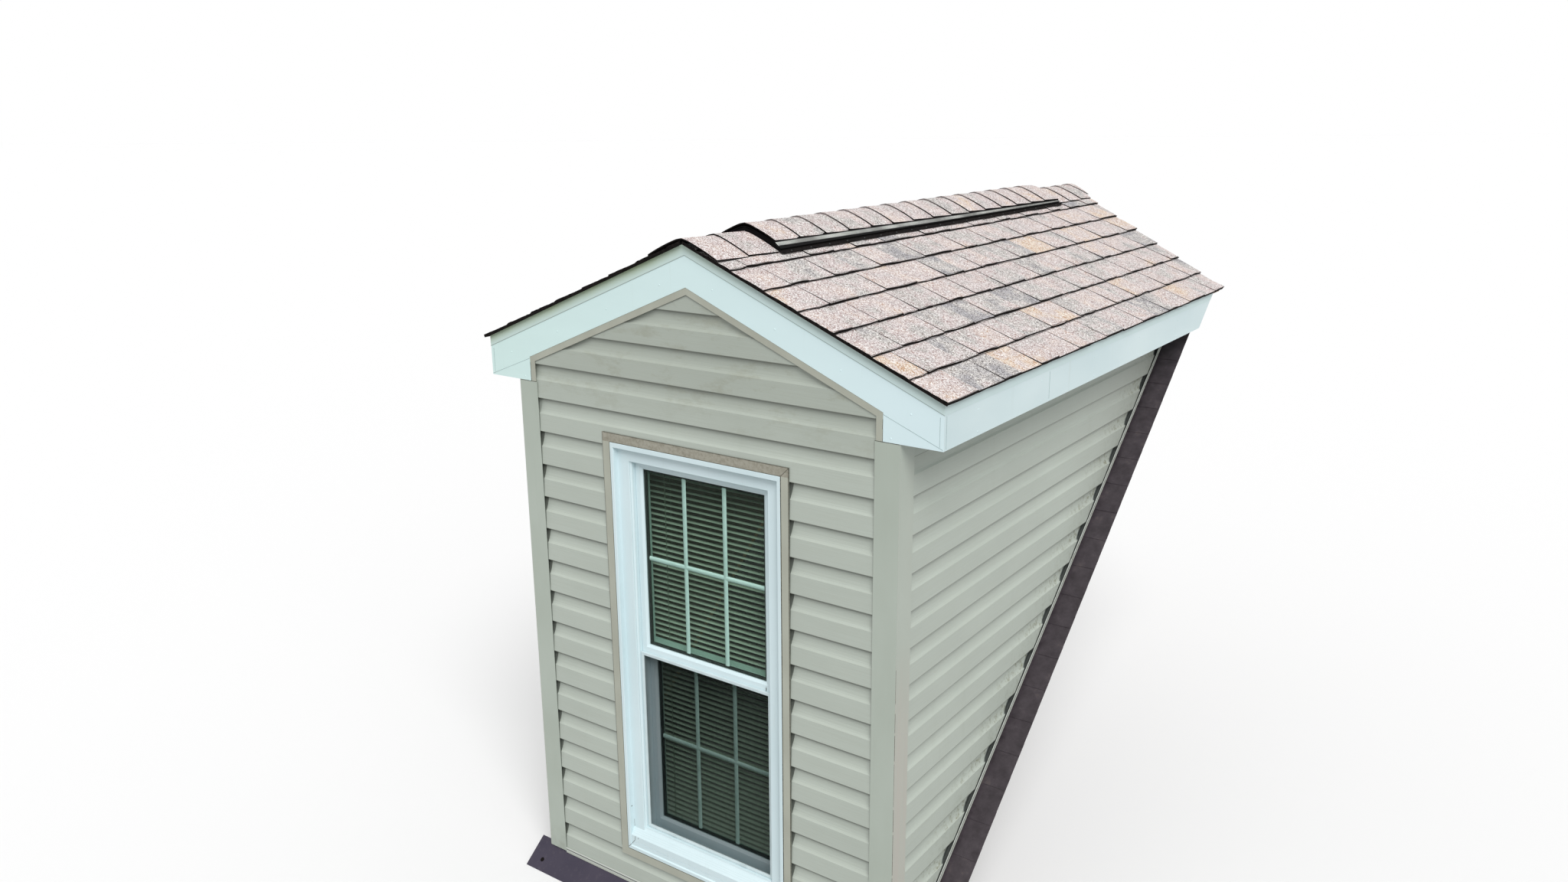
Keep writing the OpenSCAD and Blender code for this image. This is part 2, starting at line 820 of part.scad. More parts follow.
// Liner behind the window frame and the flat casing on the room's side
module window_casing() {
    color("white") {
        run_back(frame_front + win_d, inner_y) difference() {
            frame_rect(-win_gap + liner_gap);
            frame_rect(liner_t);
        }
        run_back(inner_y, inner_y + casing_t) difference() {
            frame_rect(-casing_w);
            frame_rect(liner_t);
        }
    }
}

// Head rail and bottom rail of the blind
module blind_rails() {
    color("white") {
        translate([-blind_w / 2, blind_y - slat_w / 2 - 1, blind_top - blind_head])
            cube([blind_w, slat_w + 2, blind_head]);
        translate([-blind_w / 2, blind_y - slat_w / 2, blind_low]) cube([blind_w, slat_w, blind_foot]);
    }
}

// Taut cords that carry the slats, before and behind them
module blind_ladders() {
    reach = slat_w / 2 * cos(slat_tilt) + slat_t / 2 * sin(abs(slat_tilt)) + cord_gap;
    z = blind_low + blind_foot;
    color("white") for (x = [-ladder_x, ladder_x], back = [0, 1]) mirror([0, back, 0])
        translate([x - cord_t / 2, (back ? -blind_y : blind_y) + reach, z])
            cube([cord_t, cord_t, blind_top - blind_head - z]);
}

// Tilted slats between the rails
module blind_slats() {
    top = blind_top - blind_head - slat_gap;
    color("white") for (z = [blind_low + blind_foot + slat_gap : slat_gap : top])
        translate([-blind_w / 2, blind_y, z]) rotate([slat_tilt, 0, 0])
            translate([0, -slat_w / 2, -slat_t / 2]) cube([blind_w, slat_w, slat_t]);
}

sole_plates();
valley_plates();
front_wall_left();
front_wall_right();
front_wall_below_window();
front_wall_gable();
cheek_wall_left();
cheek_wall_right();
ridge_board();
rafters();
ceiling();
roof_deck_left();
roof_deck_right();
drip_edges();
shingles_left();
shingles_right();
ridge_vent();
ridge_caps();
vent_caps();
rake_board_left();
rake_board_right();
eave_fascia_left();
eave_fascia_right();
eave_returns();
soffits();
corner_post_left();
corner_post_right();
siding_front();
siding_gable();
siding_cheek_left();
siding_cheek_right();
rake_channels();
window_channel();
cheek_channels();
foot_trim();
apron_flashing();
step_flashing();
window_frame();
upper_sash();
lower_sash();
upper_glass();
lower_glass();
sash_grids();
screen_frame();
screen_mesh();
window_casing();
blind_rails();
blind_ladders();
blind_slats();
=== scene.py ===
import json
import math
import random

import bmesh
import bpy
from mathutils import Matrix, Vector


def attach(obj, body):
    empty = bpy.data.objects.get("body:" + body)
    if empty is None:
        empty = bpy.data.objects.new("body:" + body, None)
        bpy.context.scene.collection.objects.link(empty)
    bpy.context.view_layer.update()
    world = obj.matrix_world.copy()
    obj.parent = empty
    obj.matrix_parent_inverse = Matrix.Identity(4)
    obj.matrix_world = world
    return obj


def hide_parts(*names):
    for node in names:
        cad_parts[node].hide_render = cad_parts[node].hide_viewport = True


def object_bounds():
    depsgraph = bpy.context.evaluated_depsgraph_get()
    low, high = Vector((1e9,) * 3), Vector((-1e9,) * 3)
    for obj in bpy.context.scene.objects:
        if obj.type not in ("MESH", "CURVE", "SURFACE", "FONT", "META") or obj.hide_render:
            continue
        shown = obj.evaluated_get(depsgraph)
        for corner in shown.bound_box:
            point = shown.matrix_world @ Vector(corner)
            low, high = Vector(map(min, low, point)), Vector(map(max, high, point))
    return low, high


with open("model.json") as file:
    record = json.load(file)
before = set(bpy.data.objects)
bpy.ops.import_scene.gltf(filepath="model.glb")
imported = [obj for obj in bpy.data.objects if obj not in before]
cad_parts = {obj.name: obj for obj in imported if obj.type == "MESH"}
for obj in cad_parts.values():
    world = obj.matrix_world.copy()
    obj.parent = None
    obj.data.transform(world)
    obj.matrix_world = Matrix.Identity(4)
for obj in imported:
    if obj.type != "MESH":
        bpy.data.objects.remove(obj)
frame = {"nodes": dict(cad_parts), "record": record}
cad_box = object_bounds()
scene = bpy.context.scene

# Sizes in metres, the same as the solids'
PITCH = math.radians(38.7)
SLOPE = math.atan(5 / 12)
RISE = math.tan(SLOPE)
CORE_W = 0.7095
POST_X = 0.7285
POST_W = 0.079
ROOF_W = 0.8585
FACE_Y = -0.0555
RAKE_Y = -0.0755
EAVE_Z = 1.872
APEX_Z = EAVE_Z + ROOF_W * RISE
LIP = 0.013
EXPOSURE = 0.127
UNDERLAY = 0.001
BUTT_H = 0.011
SHINGLE_FOOT = 0.003
SEAT_END = APEX_Z / math.tan(PITCH)
REACH = (ROOF_W + LIP) / math.cos(SLOPE)
VENT_L = 2.12
VENT_Y0 = RAKE_Y + 0.29
VENT_Y1 = VENT_Y0 + VENT_L
VENT_W = 0.146
VENT_H = 0.019
CAP_W = 0.14
CAP_T = 0.005
CAP_EXPOSURE = 0.1413
FOOT_Z = -0.0288
COURSE = 0.1143
DRIP_H = 0.034
FASCIA_TOP = EAVE_Z - 0.011 / math.cos(SLOPE)
FASCIA_LOW = FASCIA_TOP - 0.119
RETURN_X = 0.675
WIN_W = 0.668
WIN_LOW = 0.103
WIN_TOP = 1.583
WIN_Y = FACE_Y - 0.02
WIN_D = 0.112
WIN_FACE = 0.066
WIN_HEAD = 0.052
HEAD_FACE = 0.06
FLAT_W = 0.061
FLAT_IN = 0.021
FLAT_FOOT = 0.079
NOSE_Y = 0.004
NOSE_IN = 0.0055
LIP_W = 0.031
STOP_D = 0.044
SASH_W = WIN_W / 2 - WIN_FACE - 0.0005
SASH_FACE = 0.027
TOP_RAIL = 0.034
FOOT_RAIL = 0.055
SASH_T = 0.032
SASH_STEP = 0.002
MEET_H = 0.043
MEET_Z = (WIN_TOP + WIN_LOW) / 2
NOSE_H = 0.057
LEDGE_H = 0.091
SILL_H = 0.06
UPPER_TOP = WIN_TOP - WIN_HEAD - 0.0005
LOWER_FOOT = WIN_LOW + SILL_H + 0.0005
UPPER_Y = WIN_Y + STOP_D
LOWER_Y = UPPER_Y + SASH_T + SASH_STEP
PANE_T = 0.003
PANE_GAP = 0.012
GLASS_IN = (SASH_T - 2 * PANE_T - PANE_GAP) / 2
GRID_W = 0.0165
GRID_T = 0.006
GRID_END = 0.0072
LINER_T = 0.012
SLAT_W = 0.025
SLAT_GAP = 0.0195
SLAT_TILT = math.radians(-6)
SLAT_CROWN = 0.0016
CORD_R = 0.0004
BLIND_Y = WIN_Y + WIN_D + SLAT_W / 2 + 0.006
BLIND_W = WIN_W - 2 * LINER_T - 0.012
BLIND_TOP = WIN_TOP - LINER_T - 0.0003
BLIND_LOW = WIN_LOW + LINER_T + 0.02
BLIND_HEAD = 0.026
BLIND_FOOT = 0.014
LADDER_X = 0.21
SCREEN_T = 0.008
SCREEN_BAR = 0.011
SCREEN_Y = UPPER_Y - SCREEN_T - 0.001
SCREEN_LOW = WIN_LOW + LEDGE_H + 0.001
SCREEN_TOP = MEET_Z + 0.016

CAP_TAPER = 0.016
RIB_START = 0.012
RIB_PITCH = 0.0085
FIN_PITCH = 0.106
COVE_FROM = 0.55
NOTCH_W = 0.0075
NAIL_R = 0.0028
NAIL_H = 0.0012
SHEATHING_T = 0.0108
STUDS_TO = 0.0998
TONE = "tone"
ROOM_PAINT = (128, 124, 115), (136, 132, 123)

# Camera, solved from the siding courses of the photograph
YAW = math.radians(35.397)
TILT = math.radians(-15.568)
ROLL = math.radians(-0.42)
camera_data = bpy.data.cameras.new("camera")
camera_data.lens = 27.69
camera_data.sensor_width = 36
camera_data.clip_end = 100
camera = bpy.data.objects.new("camera", camera_data)
camera.matrix_world = (Matrix.Translation((2.2653, -2.7713, 2.6137)) @ Matrix.Rotation(YAW, 4, "Z")
                       @ Matrix.Rotation(math.pi / 2 + TILT, 4, "X") @ Matrix.Rotation(ROLL, 4, "Z"))
scene.collection.objects.link(camera)
bpy.context.scene.camera = camera


# Materials

def srgb(red, green, blue):
    """A colour as it shows in the photograph, 0 to 255, made linear for a shader."""
    def linear(c):
        c /= 255
        return c / 12.92 if c <= 0.04045 else ((c + 0.055) / 1.055) ** 2.4
    return linear(red), linear(green), linear(blue), 1


class Tree:
    """A node tree with helpers that add to it and return what they make."""

    def __init__(self, tree, output):
        self.nodes, self.links = tree.nodes, tree.links
        self.output = tree.nodes[output].inputs[0]

    def feed(self, node, inputs):
        """Sets a node's inputs to values, or links sockets to them."""
        for key, value in inputs.items():
            if isinstance(value, bpy.types.NodeSocket):
                self.links.new(value, node.inputs[key])
            else:
                node.inputs[key].default_value = value
        return node

    def node(self, kind, inputs=None, **settings):
        node = self.nodes.new(kind)
        for key, value in settings.items():
            setattr(node, key, value)
        return self.feed(node, inputs or {})

    def math(self, operation, a, b=0.0, clamp=False):
        return self.node("ShaderNodeMath", {0: a, 1: b}, operation=operation, use_clamp=clamp).outputs[0]

    def times(self, a, b, clamp=False):
        return self.math("MULTIPLY", a, b, clamp)

    def minus(self, a, b):
        return self.math("SUBTRACT", a, b)

    def size_of(self, value):
        return self.math("ABSOLUTE", value)

    def below(self, value, limit):
        return self.math("LESS_THAN", value, limit)

    def above(self, value, limit):
        return self.math("GREATER_THAN", value, limit)

    def mix_shaders(self, factor, a, b):
        return self.node("ShaderNodeMixShader", {0: factor, 1: a.outputs[0], 2: b.outputs[0]})

    def show(self, shader):
        self.links.new(shader.outputs[0], self.output)


class Finish(Tree):
    """A node material with one principled shader, and helpers that lay patterns on it."""

    def __init__(self, name, roughness, metallic=0.0, specular=0.5):
        self.material = bpy.data.materials.new(name)
        self.material.use_nodes = True
        super().__init__(self.material.node_tree, "Material Output")
        self.shader = self.feed(self.nodes["Principled BSDF"], {
            "Roughness": roughness, "Metallic": metallic, "Specular IOR Level": specular})
        self.coords = self.nodes.new("ShaderNodeTexCoord").outputs["Object"]
        self.height = None

    def mapped(self, scale, turn=(0, 0, 0)):
        inputs = {"Vector": self.coords, "Scale": scale, "Rotation": turn}
        return self.node("ShaderNodeMapping", inputs).outputs[0]

    def noise(self, scale, detail=3.0, stretch=(1, 1, 1), rough=0.5, distortion=0.0):
        inputs = {"Vector": self.mapped(stretch), "Scale": scale, "Detail": detail, "Roughness": rough,
                  "Distortion": distortion}
        return self.node("ShaderNodeTexNoise", inputs).outputs["Fac"]

    def ramp(self, value, *stops):
        """Colour ramp from stops of (position, (red, green, blue))."""
        ramp = self.node("ShaderNodeValToRGB", {"Fac": value})
        elements = ramp.color_ramp.elements
        while len(elements) < len(stops):
            elements.new(0.5)
        for element, (position, colour) in zip(elements, stops):
            element.position = position
            element.color = srgb(*colour)
        return ramp.outputs["Color"]

    def tones(self, value, first, last, low=0.3, high=0.7):
        """Colour ramp between two colours."""
        return self.ramp(value, (low, first), (high, last))

    def mix(self, factor, a, b, blend="MIX"):
        """Mix of two colours, each one a socket, (red, green, blue) or linear with its alpha."""
        a, b = (srgb(*c) if isinstance(c, tuple) and len(c) == 3 else c for c in (a, b))
        inputs = {0: factor, 6: a, 7: b}
        return self.node("ShaderNodeMix", inputs, data_type="RGBA", blend_type=blend).outputs[2]

    def fade(self, value, low, high, to_low=0.0, to_high=1.0):
        """Value carried from one range to another, held at its ends."""
        return self.node("ShaderNodeMapRange", {0: value, 1: low, 2: high, 3: to_low, 4: to_high}).outputs[0]

    def axis(self, name):
        return self.node("ShaderNodeSeparateXYZ", {0: self.coords}).outputs[name]

    def across(self):
        """Distance from the dormer's middle."""
        return self.size_of(self.axis("X"))

    def cells(self, scale, vector=None):
        """A random value for each cell of a pattern."""
        inputs = {"Vector": vector or self.coords, "Scale": scale}
        cells = self.node("ShaderNodeTexVoronoi", inputs).outputs["Color"]
        return self.node("ShaderNodeSeparateColor", {0: cells}).outputs[0]

    def facing_up(self):
        """Upward share of the surface's normal."""
        normal = self.node("ShaderNodeNewGeometry").outputs["Normal"]
        return self.node("ShaderNodeSeparateXYZ", {0: normal}).outputs["Z"]

    def over_roof(self):
        """Height over the main roof's deck, square to it."""
        up = self.times(self.axis("Z"), math.cos(PITCH))
        return self.minus(up, self.times(self.axis("Y"), math.sin(PITCH)))

    def colour(self, value):
        self.feed(self.shader, {"Base Color": value})

    def rough(self, value, low, high):
        self.feed(self.shader, {"Roughness": self.fade(value, 0, 1, low, high)})

    def bump(self, value, distance, strength=1.0):
        """Lays a relief over what is there."""
        inputs = {"Height": value, "Distance": distance, "Strength": strength}
        if self.height:
            inputs["Normal"] = self.height
        self.height = self.node("ShaderNodeBump", inputs).outputs["Normal"]
        self.feed(self.shader, {"Normal": self.height})


def siding_finish():
    """Sage vinyl with a faint sawn grain along the boards, dull bands, painted shade under the laps, at the
    boards' ends and towards the back of the cheeks, and algae near the main roof.
    """
    f = Finish("sage_lap_vinyl", 0.5)
    across, high = f.across(), f.axis("Z")
    lift = f.over_roof()
    on_cheek = f.fade(across, CORE_W - 0.004, CORE_W - 0.001)
    course = f.math("FRACT", f.times(f.minus(high, FOOT_Z), 1 / COURSE))

    grain = f.noise(1, 4, (5, 5, 420), 0.6)
    cloud = f.noise(2.2, 4, (1, 1, 1.6), 0.55)
    grained = f.mix(f.fade(grain, 0.35, 0.65, 0, 0.22), f.tones(cloud, (174, 182, 173), (182, 190, 181)),
                    (162, 167, 154))

    # Painted shade under each lap and in the open notches at the boards' ends, and a dark line of grime and
    # painted shade along each butt
    lap_start = f.fade(high, 0, 1.8, 0.865, 0.925)
    lap_shade = f.fade(f.minus(course, lap_start), 0, 0.05, 0, 0.8)
    by_post = f.minus(POST_X - POST_W, across)
    off_middle = f.size_of(f.minus(high, (WIN_LOW + WIN_TOP) / 2))
    beside_window = f.below(off_middle, (WIN_TOP - WIN_LOW) / 2 + LIP_W)
    by_window = f.math("ADD", f.minus(across, WIN_W / 2 + LIP_W), f.minus(1, beside_window))
    notch_w = f.fade(course, COVE_FROM + 0.07, 0.95, 0, NOTCH_W)
    # Painted shade in the notches where the coves end at the posts and the window
    notch_shade = f.times(f.below(f.math("MINIMUM", by_post, by_window), notch_w), f.minus(1, on_cheek))
    notch_shade_low = f.times(notch_shade, f.fade(high, 1.55, 1.7, 0.8, 0))
    shaded = f.mix(notch_shade_low, f.mix(lap_shade, grained, (84, 86, 79)), (62, 66, 60))
    # Dark line along the bottom of each butt: grime and painted shade
    lap_and_butt_shaded = f.mix(f.fade(course, 0.009, 0.015, 0.7, 0), shaded, (100, 103, 94))

    # Weather: dull and stained in the gable, dusty runs; painted shade, darker and browner towards the back
    # of the cheeks
    gable = f.fade(high, 1.62, 1.8, 0, 0.3)
    stain = f.times(gable, f.fade(f.noise(9, 6, (1, 1, 2.5), 0.75), 0.52, 0.66), True)
    stained = f.mix(stain, f.mix(gable, lap_and_butt_shaded, (140, 145, 134)), (132, 130, 108))
    # Painted shade towards the back of the cheeks
    far_shade = f.times(on_cheek, f.fade(f.axis("Y"), 1.1, 2.2, 0, 0.35))
    runs = f.noise(1, 5, (9, 9, 1.1), 0.7)
    dusty = f.mix(f.fade(runs, 0.58, 0.8, 0, 0.14), f.mix(far_shade, stained, (136, 132, 126)), (140, 145, 128))

    # Algae near the main roof, and painted shade in the open ends of the coves over the cheek's channel
    cove = f.times(f.above(course, COVE_FROM), on_cheek)
    near = f.times(f.fade(lift, 0.06, 0.22, 1, 0), f.times(on_cheek, f.fade(cove, 0, 1, 0.25, 0.9)))
    algae = f.times(near, f.fade(f.noise(42, 6, rough=0.8), 0.5, 0.62), True)
    # Painted shade in the open ends of the coves
    open_end_shade = f.times(cove, f.fade(lift, 0.042, 0.048, 0.8, 0))
    f.colour(f.mix(open_end_shade, f.mix(algae, dusty, (120, 120, 98)), (50, 58, 60)))
    f.rough(cloud, 0.42, 0.6)
    f.bump(grain, 0.0006, 0.5)
    f.bump(f.noise(5, 2, (0.6, 0.6, 1), 0.4), 0.004, 0.5)
    return f


def trim_finish():
    """Posts and channels of the same vinyl, smoother than the siding."""
    f = Finish("sage_trim_vinyl", 0.42)
    cloud = f.noise(6, 3, (1, 1, 0.5))
    near = f.fade(f.over_roof(), 0.01, 0.1, 1, 0)
    dirt = f.times(near, f.fade(f.noise(30, 5), 0.42, 0.75, 0, 0.4), True)
    streak = f.fade(f.noise(1, 4, (40, 40, 2), 0.6), 0.6, 0.85, 0, 0.1)
    flank = f.above(f.across(), POST_X - 0.0004)
    lower = f.times(flank, f.fade(f.axis("Z"), 0.85, 1.15, 0.65, 0.1))
    bleached = f.times(lower, f.fade(f.noise(1, 4, (30, 30, 2)), 0.3, 0.6, 0.5, 1))
    faded = f.mix(bleached, f.tones(cloud, (169, 178, 167), (177, 186, 176)), (182, 174, 165))
    f.colour(f.mix(dirt, f.mix(streak, faded, (136, 138, 120)), (108, 104, 84)))
    f.rough(cloud, 0.36, 0.52)
    f.bump(f.noise(1, 3, (90, 90, 5), 0.5), 0.0004, 0.4)
    return f


def channel_finish():
    """Channels round the window and under the rakes: the same vinyl, gritty on what faces up."""
    f = Finish("sage_channel_vinyl", 0.48)
    base = f.tones(f.noise(10, 3, (1, 1, 0.6)), (163, 165, 152), (175, 178, 165))
    grit = f.noise(70, 6, rough=0.75)
    on_top = f.fade(f.facing_up(), 0.2, 0.7)
    head = f.below(f.size_of(f.minus(f.axis("Z"), WIN_TOP + LIP_W / 2 + 0.0005)), LIP_W / 2)
    dirty = f.math("MAXIMUM", on_top, f.times(head, 0.5))
    amount = f.times(dirty, f.fade(grit, 0.44, 0.62), True)
    dull = f.mix(f.times(head, 0.6), base, (150, 143, 130))
    f.colour(f.mix(amount, dull, (112, 108, 92)))
    f.rough(grit, 0.4, 0.65)
    f.bump(grit, 0.0004, 0.5)
    return f


def foot_trim_finish():
    """Pale trim along the foot: a thin lip, painted shade in a groove under it, and a wider band; painted
    shade in the pocket of the cheeks' channel.
    """
    f = Finish("pale_foot_vinyl", 0.5)
    # The groove colour is painted shade under the lip
    lip, groove = (206, 211, 204), (58, 62, 60)
    on_cheek = f.fade(f.across(), CORE_W - 0.004, CORE_W)
    fall_front = f.minus(FOOT_Z + 0.01, f.axis("Z"))
    fall_cheek = f.minus(0.036, f.over_roof())
    fall = f.fade(f.fade(on_cheek, 0, 1, fall_front, fall_cheek), 0, 0.02)
    band = f.ramp(fall, (0, lip), (0.26, lip), (0.3, groove), (0.42, groove), (0.47, (196, 201, 193)),
                  (1, (178, 183, 173)))
    dirt = f.fade(f.noise(40, 6, rough=0.7), 0.5, 0.72, 0, 0.45)
    stained = f.mix(f.times(dirt, on_cheek), band, (126, 122, 100))
    # Painted shade in the pocket of the cheeks' channel
    pocket_shade = f.times(on_cheek, f.fade(f.across(), CORE_W + 0.0155, CORE_W + 0.017, 0.88, 0))
    f.colour(f.mix(pocket_shade, stained, (44, 49, 50)))
    f.rough(f.noise(14, 4), 0.42, 0.6)
    f.bump(f.noise(60, 3), 0.0005, 0.5)
    return f


def fascia_finish():
    """Bent aluminium trim, pale blue-white, slightly waved between its nails."""
    f = Finish("coil_coated_white", 0.34)
    wave = f.noise(3.2, 2, (1, 0.8, 2.2), 0.4)
    fine = f.noise(160, 3)
    runs = f.fade(f.noise(1, 4, (22, 22, 1.2), 0.65), 0.6, 0.84, 0, 0.16)
    minty = f.fade(f.axis("X"), -0.85, 0.75, 0.75, 0)
    on_front = f.below(f.axis("Y"), RAKE_Y + 0.001)
    front = f.mix(minty, (219, 239, 243), (208, 235, 228))
    fresh = f.mix(f.times(on_front, 0.9), f.tones(wave, (202, 222, 225), (212, 230, 232)), front)
    f.colour(f.mix(runs, fresh, (168, 180, 164)))
    f.rough(fine, 0.28, 0.42)
    f.bump(wave, 0.006, 0.5)
    f.bump(fine, 0.0002, 0.3)
    return f


def drip_finish():
    """Metal edge under the shingles: white along the eaves, tinged green under the rakes, with a painted
    shadow line along the hem.
    """
    f = Finish("stained_drip_metal", 0.4)
    below = f.minus(APEX_Z, f.math("ADD", f.axis("Z"), f.times(f.across(), RISE)))
    on_rake = f.below(f.axis("Y"), RAKE_Y + 0.0005)
    leftness = f.fade(f.axis("X"), -0.15, 0.25, 1, 0.2)
    stain = f.fade(f.noise(9, 4, rough=0.5), 0.25, 0.7, 0.55, 0.9)
    upper = f.fade(below, 0, DRIP_H * 0.8, 1, 0.25)
    amount = f.times(f.times(stain, on_rake), f.times(leftness, upper))
    # Painted shadow of the hem along the rakes' lower edge
    hem_shadow = f.times(on_rake, f.fade(below, DRIP_H - 0.0026, DRIP_H - 0.0012, 0, 0.6))
    f.colour(f.mix(hem_shadow, f.mix(amount, (204, 224, 224), (168, 186, 140)), (104, 120, 112)))
    f.rough(stain, 0.34, 0.55)
    f.bump(f.noise(6, 2), 0.003, 0.4)
    return f


def shingle_finish(name, shift=0.0, butt_shadow=0.0):
    """Laminated asphalt shingle: a blend of granules for each tab, grained by single stones."""
    f = Finish(name, 0.92, specular=0.3)
    tone = f.node("ShaderNodeAttribute", attribute_name=TONE).outputs["Fac"]
    patch = f.fade(f.noise(10, 4, rough=0.6), 0.3, 0.7, -0.36 + shift, 0.36 + shift)
    body = f.ramp(f.math("ADD", tone, patch), (0, (160, 161, 164)), (0.28, (191, 190, 187)),
                  (0.5, (203, 194, 193)), (0.78, (213, 201, 196)), (1, (217, 199, 182)))
    stone = f.cells(400.0)
    speckle = f.ramp(stone, (0, (50, 46, 46)), (0.2, (116, 110, 110)), (0.42, (198, 194, 194)),
                     (0.75, (230, 226, 225)), (1, (255, 254, 252)))
    mixed = f.mix(0.95, body, speckle, "OVERLAY")
    dusty = f.mix(f.fade(f.noise(150, 3, rough=0.8), 0.48, 0.68, 0, 0.5), mixed, (136, 126, 124))
    from_eave = f.minus(ROOF_W + LIP, f.across())
    course = f.math("FRACT", f.times(from_eave, 1 / (EXPOSURE * math.cos(SLOPE))))
    f.colour(f.mix(f.fade(course, 0.962, 0.976, 0, butt_shadow), dusty, (66, 60, 59)))
    f.bump(stone, 0.0012, 0.8)
    f.bump(f.noise(40, 3), 0.002, 0.5)
    return f


def edge_asphalt_finish():
    """Cut edges of the shingles, where the black asphalt shows; bleached along the ridge's folds."""
    f = Finish("cut_asphalt", 0.85, specular=0.05)
    black = f.tones(f.noise(120, 3), (12, 11, 11), (38, 34, 33), 0.3, 0.8)
    crown = f.fade(f.across(), 0.02, 0.08, 0.6, 0)
    behind = f.fade(f.axis("Y"), VENT_Y0 + 0.02, VENT_Y0 + 0.03)
    f.colour(f.mix(f.times(crown, behind), black, (150, 142, 140)))
    f.bump(f.noise(200, 2), 0.001, 0.7)
    return f


def black_plastic_finish():
    """Ridge vent plastic, black with a ribbed strip along the caps that is bleached grey and lightened by a
    painted highlight on its upward faces.
    """
    f = Finish("ridge_vent_plastic", 0.5, specular=0.06)
    out = f.times(f.across(), 1 / math.cos(SLOPE))
    past_cap = f.minus(out, f.fade(f.axis("Y"), VENT_Y0, VENT_Y1, CAP_W - CAP_TAPER, CAP_W))
    strip = f.times(f.fade(past_cap, 0.0015, 0.0032), f.fade(past_cap, 0.014, 0.0155, 1, 0))
    rib = f.math("FRACT", f.times(f.minus(f.axis("Y"), VENT_Y0 + RIB_START), 1 / RIB_PITCH))
    ribbed = f.fade(f.size_of(f.minus(rib, 0.5)), 0.1, 0.3, 0.55, 1)
    worn = f.fade(f.noise(14, 4, (1, 0.5, 1)), 0.35, 0.65, 0.45, 1)
    # Bleaching and painted highlight: grey only on the ribs' upward faces, darker between the ribs
    bleached = f.times(f.times(strip, f.fade(f.facing_up(), 0.5, 0.65)), f.times(ribbed, worn))
    f.colour(f.mix(bleached, (10, 9, 10), (206, 208, 203)))
    f.rough(f.noise(50, 3), 0.35, 0.6)
    f.bump(f.noise(300, 2), 0.0003, 0.5)
    return f


def window_finish():
    """Vinyl of the window, bluish white, a little chalky."""
    f = Finish("window_white_vinyl", 0.3)
    cloud = f.noise(4, 3, (1, 1, 0.6))
    dirt = f.fade(f.noise(1, 5, (40, 40, 3), 0.7), 0.6, 0.85, 0, 0.22)
    f.colour(f.mix(dirt, f.tones(cloud, (205, 224, 228), (215, 232, 236)), (170, 180, 172)))
    f.rough(cloud, 0.24, 0.4)
    f.bump(f.noise(1, 2, (120, 120, 6)), 0.0002, 0.3)
    return f


def glass_finish():
    """Panes, the inner one of each pair tinted, with reflections by the angle of view."""
    f = Finish("tinted_pane", 0.05)
    f.nodes.remove(f.shader)
    in_sash = f.math("FRACT", f.times(f.minus(f.axis("Y"), UPPER_Y), 1 / (SASH_T + SASH_STEP)))
    tint = f.mix(f.above(in_sash, 0.5), (0.96, 0.98, 0.97, 1), (0.8, 0.86, 0.81, 1))
    through = f.node("ShaderNodeBsdfTransparent", {"Color": tint})
    shine = f.node("ShaderNodeBsdfGlossy", {"Roughness": 0.02, "Color": (0.3, 0.4, 0.33, 1)})
    outer_face = f.minus(1, f.node("ShaderNodeNewGeometry").outputs["Backfacing"])
    share = f.times(f.node("ShaderNodeFresnel", {"IOR": 1.35}).outputs[0], outer_face)
    f.show(f.mix_shaders(share, through, shine))
    return f


def mesh_finish():
    """Insect screen: fine dark wires, seen as a grey veil."""
    f = Finish("insect_mesh", 0.7, specular=0.08)
    f.colour(f.tones(f.noise(30, 3), (8, 11, 12), (14, 18, 19)))
    f.show(f.mix_shaders(0.26, f.node("ShaderNodeBsdfTransparent"), f.shader))
    return f


def lumber_finish():
    """Framing lumber with its grain along the boards."""
    f = Finish("framing_lumber", 0.7)
    rings = f.noise(1, 5, (30, 4, 30), 0.6, distortion=0.6)
    base = f.ramp(rings, (0.32, (152, 130, 100)), (0.5, (178, 156, 124)), (0.68, (196, 176, 144)))
    f.colour(f.mix(f.fade(f.noise(5, 3), 0.5, 0.8, 0, 0.3), base, (134, 112, 84)))
    f.rough(rings, 0.6, 0.8)
    f.bump(rings, 0.0008, 0.5)
    return f


def strand_board(f):
    """Pattern and colour of strand board."""
    strand = f.cells(1, f.mapped((14, 40, 30), (0.3, 0.5, 0.8)))
    return strand, f.ramp(strand, (0, (142, 118, 88)), (0.5, (172, 148, 114)), (1, (194, 172, 138)))


def deck_finish():
    f = Finish("strand_board", 0.75)
    strand, colour = strand_board(f)
    f.colour(colour)
    f.rough(strand, 0.6, 0.85)
    f.bump(strand, 0.0006, 0.6)
    return f


def wall_finish():
    """Wall sections by depth: strand board, lumber, taupe painted board."""
    f = Finish("wall_layers", 0.75)
    strand, board = strand_board(f)
    grain = f.noise(1, 5, (40, 40, 3), 0.6)
    stud = f.tones(grain, (156, 134, 104), (190, 168, 136), 0.32, 0.68)
    depth = f.math("MINIMUM", f.minus(CORE_W, f.across()), f.size_of(f.minus(f.axis("Y"), FACE_Y)))
    layers = f.mix(f.below(depth, SHEATHING_T), stud, board)
    f.colour(f.mix(f.above(depth, STUDS_TO), layers, f.tones(f.noise(60, 3), *ROOM_PAINT)))
    f.rough(grain, 0.6, 0.85)
    f.bump(strand, 0.0005, 0.4)
    return f


def plaster_finish():
    f = Finish("painted_board", 0.8)
    f.colour(f.tones(f.noise(30, 4), *ROOM_PAINT))
    f.rough(f.noise(50, 3), 0.7, 0.9)
    f.bump(f.noise(260, 3), 0.0006, 0.4)
    return f


